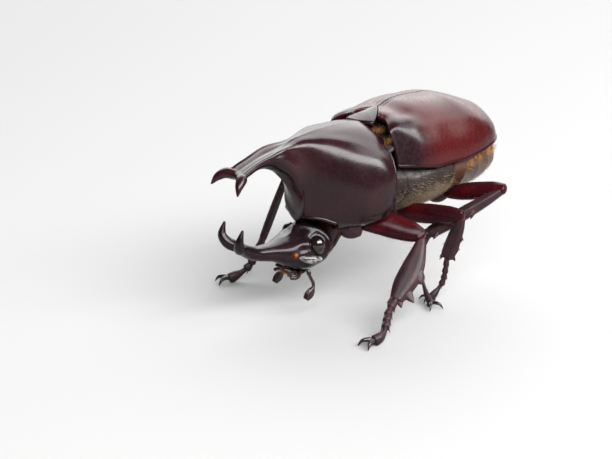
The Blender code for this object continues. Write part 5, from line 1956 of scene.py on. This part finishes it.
@dataclass
class Leg:
    """One leg from hip to claws, in the walking pose."""

    pair: Pair
    side: Side
    hip: Row
    root: Row
    knee: Row
    ankle: Row
    foot: Rows
    twist: float = 0.0
    flat_depth: float = 0.06
    cuts: tuple[float, ...] = (0.0, 0.17, 0.33, 0.48, 0.62, 1.0)
    pad_height: float = 0.30
    claw_height: float = 0.2

    @property
    def key(self) -> str:
        """Name of the leg in its pieces and nodes."""
        return self.pair.value + "_" + self.side.word

    @property
    def build_of(self) -> LegBuild:
        """Proportions of this leg."""
        return BUILDS[self.pair]

    @property
    def normal(self) -> np.ndarray:
        """Normal of the plane in which the leg bends."""
        return unit(np.cross(np.subtract(self.knee, self.root),
                             np.subtract(self.ankle, self.knee)))

    def coxa(self) -> None:
        """Rounded hip piece."""
        size = self.build_of.size
        hip = np.array(self.hip)
        out = unit(np.array(self.knee) - hip)
        path = [hip - out * 2.6 * size + np.array([0, 0, 0.5]), hip - out * 1.2 * size,
                hip + out * 0.1, hip + out * 0.9 * size]
        sizes = [(a * size, b * size) for a, b in ((1.1, 1.0), (1.65, 1.45), (1.6, 1.4),
                                                   (1.25, 1.1))]
        form = tube(path, sizes, (0, 0, 1), 36, 30)
        cast("coxa_" + self.key + "_shell", form, from_walk, LIMB, "coxa_" + self.key)

    def femur(self) -> None:
        """Flattened, nearly straight-sided thigh with a blunt, notched knee."""
        size = self.build_of.size
        root, knee = np.array(self.root), np.array(self.knee)
        out = unit(knee - root)
        wide = np.cross(out, self.normal)
        start = root + out * (1.0 * size)
        sizes = np.array(self.build_of.thigh) * size
        path = [start + (knee - start) * f for f in (0, 0.25, 0.5, 0.75, 1.0)]
        form = tube(path, sizes, wide, 40, 60)
        down = unit(np.array(self.ankle) - knee)
        for swing in (-1, 1):
            knob = knee + self.normal * swing * 0.55 * size - out * 0.3 * size
            form += tube([knob - out * 0.9 * size, knob + down * 0.75 * size + out * 0.1],
                         [(0.95 * size, 0.36 * size), (0.95 * size, 0.40 * size),
                          (0.66 * size, 0.30 * size)], wide, 16, 12)
        self.cover("femur", form.placed(from_walk), THIGH, (0.085, 6), -wide, out, 0.8,
                   per_mm2=2.5, length=0.7, radius=0.016, lean=1.2, seed=40)

    def cover(self, part: str, form: Form, finish: Finish, skin: tuple[float, int],
              facing: np.ndarray, lay: np.ndarray, sharp: float, **hair: float) -> None:
        """Fuse and dress a part of the leg, with hair on one side of it.

        Args:
            part: its name.
            form: its overlapping forms in the floor frame.
            finish: its finish.
            skin: cell size and smoothing rounds.
            facing: side with hair.
            lay: direction in which the hair lies.
            sharp: 0 for hair all round, 1 for hair only along the very edge.
            hair: sizes of the coat.
        """
        name = part + "_" + self.key
        obj = fused(name + "_shell", form, *skin)
        normals = rows_of(obj.data.vertex_normals, "vector")
        points = rows_of(obj.data.vertices, "co") / MM
        coat = step(sharp * 0.9, 0.98, normals @ unit(facing)) * step(0.8, 1.4, points[:, 2])
        along = points @ unit(lay)
        around = np.arctan2(normals @ self.normal, normals @ unit(facing))
        root = np.column_stack([(along - along.min()) / np.ptp(along), around / 6.3 + 0.5])
        furred(obj, coat, lay, np.clip(root, 0, 0.99))
        dress(obj, finish, name)
        HairCoat(name + "_hair", HAIR_RUST, **hair).grow(obj)

    def tibia(self) -> None:
        """Ribbed shin that widens to its end, with edge teeth and end spurs."""
        size = self.build_of.size
        root, knee, ankle = (np.array(p) for p in (self.root, self.knee, self.ankle))
        down = unit(ankle - knee)
        normal = self.normal
        wide = unit(np.cross(down, normal))
        if np.dot(wide, unit(root - knee)) > 0:
            wide = -wide
        turned = np.radians(self.twist)
        wide, normal = (wide * np.cos(turned) + normal * np.sin(turned),
                        normal * np.cos(turned) - wide * np.sin(turned))
        start = knee + down * (0.75 * size) + wide * 0.1 * size
        reach = ankle - start
        centres = smooth(self.build_of.shin_centre, np.linspace(0, 5, 6))[:, 0] * size
        path = [start + reach * f + wide * c for f, c in zip(np.linspace(0, 1, 6), centres)]
        form = tube(path, np.array(self.build_of.shin) * size, wide, 48, 70, ribs=(6, 0.035))
        for f, across, tip_f, tip_across, radius, swing, flat in self.build_of.teeth:
            tip = start + reach * tip_f + wide * tip_across * size + normal * swing * size
            form += spike(start + reach * f + wide * across * size, tip, radius * size, flat,
                          down, 0.0)
        for swing in (-0.5, 0.5):
            root = ankle - wide * 0.65 * size + normal * swing * 0.5 * size - down * 0.25
            tip = root + (down * 1.75 - wide * 0.55 + normal * swing * 0.5) * size
            form += spike(root, tip, 0.30 * size, 1.0, normal, 0.08)
        self.cover("tibia", form.placed(from_walk), LIMB, (0.08, 5), -wide, down, 0.5,
                   per_mm2=3.5, length=0.7, radius=0.016, lean=1.1, seed=50)

    def tarsus(self) -> None:
        """Five joints that widen to their ends, and two curved claws of their own."""
        size = self.build_of.size
        ankle = np.array(self.ankle, float)
        first = unit(np.subtract(self.foot[0], ankle))
        keys = np.array([tuple(ankle + first * 0.25 * size)] + [tuple(p) for p in self.foot])
        dense = smooth(keys, np.linspace(0, len(keys) - 1, 80))
        run = np.concatenate([[0], np.cumsum(np.linalg.norm(np.diff(dense, axis=0), axis=1))])
        run /= run[-1]

        def along(f: float) -> np.ndarray:
            """Point at a share of the foot's length."""
            return np.array([np.interp(f, run, dense[:, k]) for k in range(3)])

        girth = size * self.build_of.foot
        joints = len(self.cuts) - 1
        forms = []
        for k in range(joints):
            a, b = self.cuts[k], min(self.cuts[k + 1] + 0.012, 1.0)
            points = [along(a + (b - a) * f) for f in (0, 0.35, 0.7, 1.0)]
            is_last = k == joints - 1
            slim, wide = (0.25, 0.60) if is_last else (0.27, 0.50)
            sizes = np.array([(slim, slim), (slim * 1.25, slim * 1.15),
                              (wide * 0.88, wide * 0.8), (wide, wide * 0.85)]) * girth
            if k == 0:
                sizes = sizes * np.array([[1.25], [1.15], [1.05], [1.0]])
            forms.append(tube(points, sizes, (0, 0, 1), 18, 18))
            if not is_last:
                way = unit(along(b) - along(b - 0.03))
                forms.append(self.end_spines(along(b - 0.02), way, girth))
        end = along(1.0)
        ahead = along(1.0) - along(0.9)
        ahead[2] = 0
        ahead = unit(ahead)
        pad = [end - ahead * 0.75 * size, end - ahead * 0.2 * size]
        pad = [np.array([p[0], p[1], self.pad_height - BODY_HEIGHT]) for p in pad]
        forms.append(tube(pad, np.array([(.36, .40), (.40, .42)]) * size, (0, 0, 1), 14, 6))
        self.cover("tarsus", self.set_down(joined(forms)), LIMB, (0.06, 4),
                   np.array([0, 0, -1.0]), unit(end - ankle), 0.2,
                   per_mm2=4, length=0.55, radius=0.014, lean=1.0, seed=60)
        dress(self.claws(end, ahead), CLAW)

    def end_spines(self, place: np.ndarray, way: np.ndarray, size: float) -> Form:
        """Short spines at the end of a foot joint.

        Args:
            place: middle of the end.
            way: direction of the joint.
            size: scale of the foot.

        Returns:
            The spines.
        """
        across = unit(np.cross(way, (0, 0, 1)))
        forms = []
        for k in (-1, 0, 1):
            root = place + across * 0.3 * k * size - np.array([0, 0, 0.18]) * size
            tip = root + (way * 0.42 + across * 0.20 * k + np.array([0, 0, -0.16])) * size
            forms.append(spike(root, tip, 0.085 * size, 1.0, across, 0.0))
        return joined(forms)

    def claws(self, end: np.ndarray, ahead: np.ndarray) -> bpy.types.Object:
        """Pair of curved claws, joined at the root.

        Args:
            end: end of the foot.
            ahead: level direction of its last joint.

        Returns:
            The object.
        """
        size = self.build_of.size
        claw = size * self.build_of.claw
        across = np.array([-ahead[1], ahead[0], 0])
        forms = []
        for s in (-1.0, 1.0):
            spread = across * s * size
            tip = end + ahead * 1.75 * claw + spread * 1.35
            tip[2] = self.claw_height - BODY_HEIGHT
            path = [end - ahead * 0.25, end + ahead * 0.7 * claw + spread * 0.45
                    + np.array([0, 0, 0.30]),
                    end + ahead * 1.35 * claw + spread + np.array([0, 0, 0.14]), tip]
            sizes = np.array([(.31, .31), (.29, .28), (.21, .20), (.05, .05)]) * claw
            forms.append(tube(path, sizes, (0, 0, 1), 16, 26))
        return fused("claws_" + self.key, self.set_down(joined(forms)), 0.045, 3)

    def set_down(self, form: Form) -> Form:
        """Place foot pieces so that they stand on the floor, flat where they meet it.

        Args:
            form: pieces in leg coordinates.

        Returns:
            The form in the floor frame.
        """
        placed = form.placed(from_walk)
        placed.points[:, 2] = np.maximum(placed.points[:, 2] - self.flat_depth, 0.0)
        return placed

    def build(self) -> None:
        """Make and dress the whole leg."""
        self.coxa()
        self.femur()
        self.tibia()
        self.tarsus()


LEGS = [
    Leg(Pair.FRONT, Side.LEFT, (5.0, -7.4, -9.4), (3.7, -5.2, -7.6), (14.1, 0.5, -10.1),
        (15.6, -7.6, -19.4), ((16.4, -10.3, -20.9), (18.6, -13.8, -23.0), (18.7, -16.0, -23.7))),
    Leg(Pair.MID, Side.LEFT, (4.4, 3.9, -8.9), (4.4, 3.9, -8.9), (16.7, 7.8, -7.4),
        (13.4, 7.9, -16.0), ((13.0, 8.0, -18.7), (12.5, 7.8, -21.3), (11.6, 6.0, -23.9))),
    Leg(Pair.HIND, Side.LEFT, (6.2, 13.7, -7.0), (6.2, 13.7, -7.0), (18.3, 17.1, -4.2),
        (10.2, 7.0, -12.0), ((8.9, 6.0, -15.3), (9.4, 5.4, -18.6), (11.5, 4.3, -21.9),
                             (13.6, 3.6, -23.8))),
    Leg(Pair.FRONT, Side.RIGHT, (-7.2, -6.2, -9.0), (-7.2, -6.2, -9.0), (-17.5, -2.7, -5.2),
        (-17.3, -9.1, -16.4), ((-18.3, -9.8, -19.4), (-19.2, -11.6, -22.2),
                               (-20.5, -14.4, -23.7)), -38.0),
    Leg(Pair.MID, Side.RIGHT, (-5.8, 5.0, -8.8), (-5.8, 5.0, -8.8), (-15.8, 6.3, -6.8),
        (-18.6, 4.9, -15.8), ((-19.3, 4.2, -19.5), (-20.4, 3.4, -22.9), (-22.0, 2.2, -23.9))),
    Leg(Pair.HIND, Side.RIGHT, (-5.8, 14.1, -8.4), (-5.8, 14.1, -8.4), (-15.6, 19.5, -4.6),
        (-18.2, 25.2, -13.8), ((-18.9, 26.6, -18.6), (-20.0, 28.6, -23.1),
                               (-21.4, 30.2, -23.8))),
]


# Studio
@dataclass
class Studio:
    """Pale floor, soft lights and the camera."""

    focal_px: float = 1493.5
    width_px: int = 612
    camera_at: Point = (179.3636, -183.8293, 100.526)
    camera_back: Point = (0.68722, -0.64943, 0.32552)
    camera_up: Point = (-0.23659, 0.22358, 0.94553)
    sensor_mm: float = 36.0
    clip_m: tuple[float, float] = (0.01, 10.0)
    floor_radius: float = 3000.0
    floor_points: int = 96
    floor_colour: Colour = (0.250, 0.248, 0.248)
    floor_rough: float = 0.75
    sky_colour: Colour = (0.93, 0.95, 1.0)
    sky_strength: float = 0.08
    look_height: float = 15.0
    lamps: tuple[tuple[str, Row, Row, float, float], ...] = (
        ("studio_wall", (-440, 560, 620), (1700, 760), 18.0, 0.0),
        ("studio_low", (-570, 679, 171), (1900, 317), 3.3, 0.0),
        ("studio_strip", (515, -70, 485), (1150, 340), 23.0, 6.0),
        ("studio_top", (330, 330, 640), (520, 420), 3.0, 0.0))

    def camera(self) -> None:
        """Camera at the photo's place and angle."""
        data = bpy.data.cameras.new("studio_camera")
        data.sensor_width = self.sensor_mm
        data.sensor_fit = "HORIZONTAL"
        data.lens = self.focal_px / self.width_px * self.sensor_mm
        data.clip_start, data.clip_end = self.clip_m
        camera = bpy.data.objects.new("studio_camera", data)
        back, up = Vector(self.camera_back), Vector(self.camera_up)
        right = up.cross(back)
        turned = Matrix((right, up, back)).transposed().to_4x4()
        turned.translation = (Vector(self.camera_at) + Vector(CENTRING)) * MM
        camera.matrix_world = turned
        bpy.context.scene.collection.objects.link(camera)
        bpy.context.scene.camera = camera

    def floor(self) -> None:
        """Plain pale floor."""
        count = self.floor_points
        angles = np.linspace(0, 2 * np.pi, count, endpoint=False)
        ring = np.column_stack([np.cos(angles), np.sin(angles), np.zeros(count)])
        obj = mesh_object("studio_floor", Form(ring * self.floor_radius, [tuple(range(count))]))
        material = bpy.data.materials.new("studio_floor_paper")
        material.use_nodes = True
        shader = material.node_tree.nodes["Principled BSDF"]
        shader.inputs["Base Color"].default_value = (*self.floor_colour, 1)
        shader.inputs["Roughness"].default_value = self.floor_rough
        obj.data.materials.append(material)

    def light(self, name: str, at: Row, size: Row, watts: float, roll: float) -> None:
        """Soft rectangular light that faces the beetle.

        Args:
            name: object name.
            at: place in millimetres.
            size: width and height in millimetres.
            watts: power.
            roll: turn about the way it faces, degrees.
        """
        data = bpy.data.lights.new(name, "AREA")
        data.shape = "RECTANGLE"
        data.size, data.size_y = size[0] * MM, size[1] * MM
        data.energy = watts
        obj = bpy.data.objects.new(name, data)
        obj.location = Vector(at) * MM
        way = Vector((0, 0, self.look_height * MM)) - obj.location
        about = Matrix.Rotation(math.radians(roll), 3, way)
        obj.rotation_euler = (about @ way.to_track_quat("-Z", "Y").to_matrix()).to_euler()
        bpy.context.scene.collection.objects.link(obj)

    def world(self) -> None:
        """Even pale surroundings."""
        world = bpy.data.worlds.new("studio_world")
        world.use_nodes = True
        sky = world.node_tree.nodes["Background"]
        sky.inputs["Color"].default_value = (*self.sky_colour, 1)
        sky.inputs["Strength"].default_value = self.sky_strength
        bpy.context.scene.world = world

    def build(self) -> None:
        """Set up the studio."""
        self.camera()
        self.floor()
        self.world()
        for lamp in self.lamps:
            self.light(*lamp)


def main() -> None:
    """Build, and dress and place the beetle."""
    logging.basicConfig(level=logging.INFO, format="%(name)s: %(message)s")
    bpy.context.scene.view_settings.view_transform = "Standard"
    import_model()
    Head().build(Shield().build())
    Feelers().build()
    WingCases().build()
    Trunk().build()
    for leg in LEGS:
        leg.build()
    Studio().build()


if __name__ == "__main__":
    main()
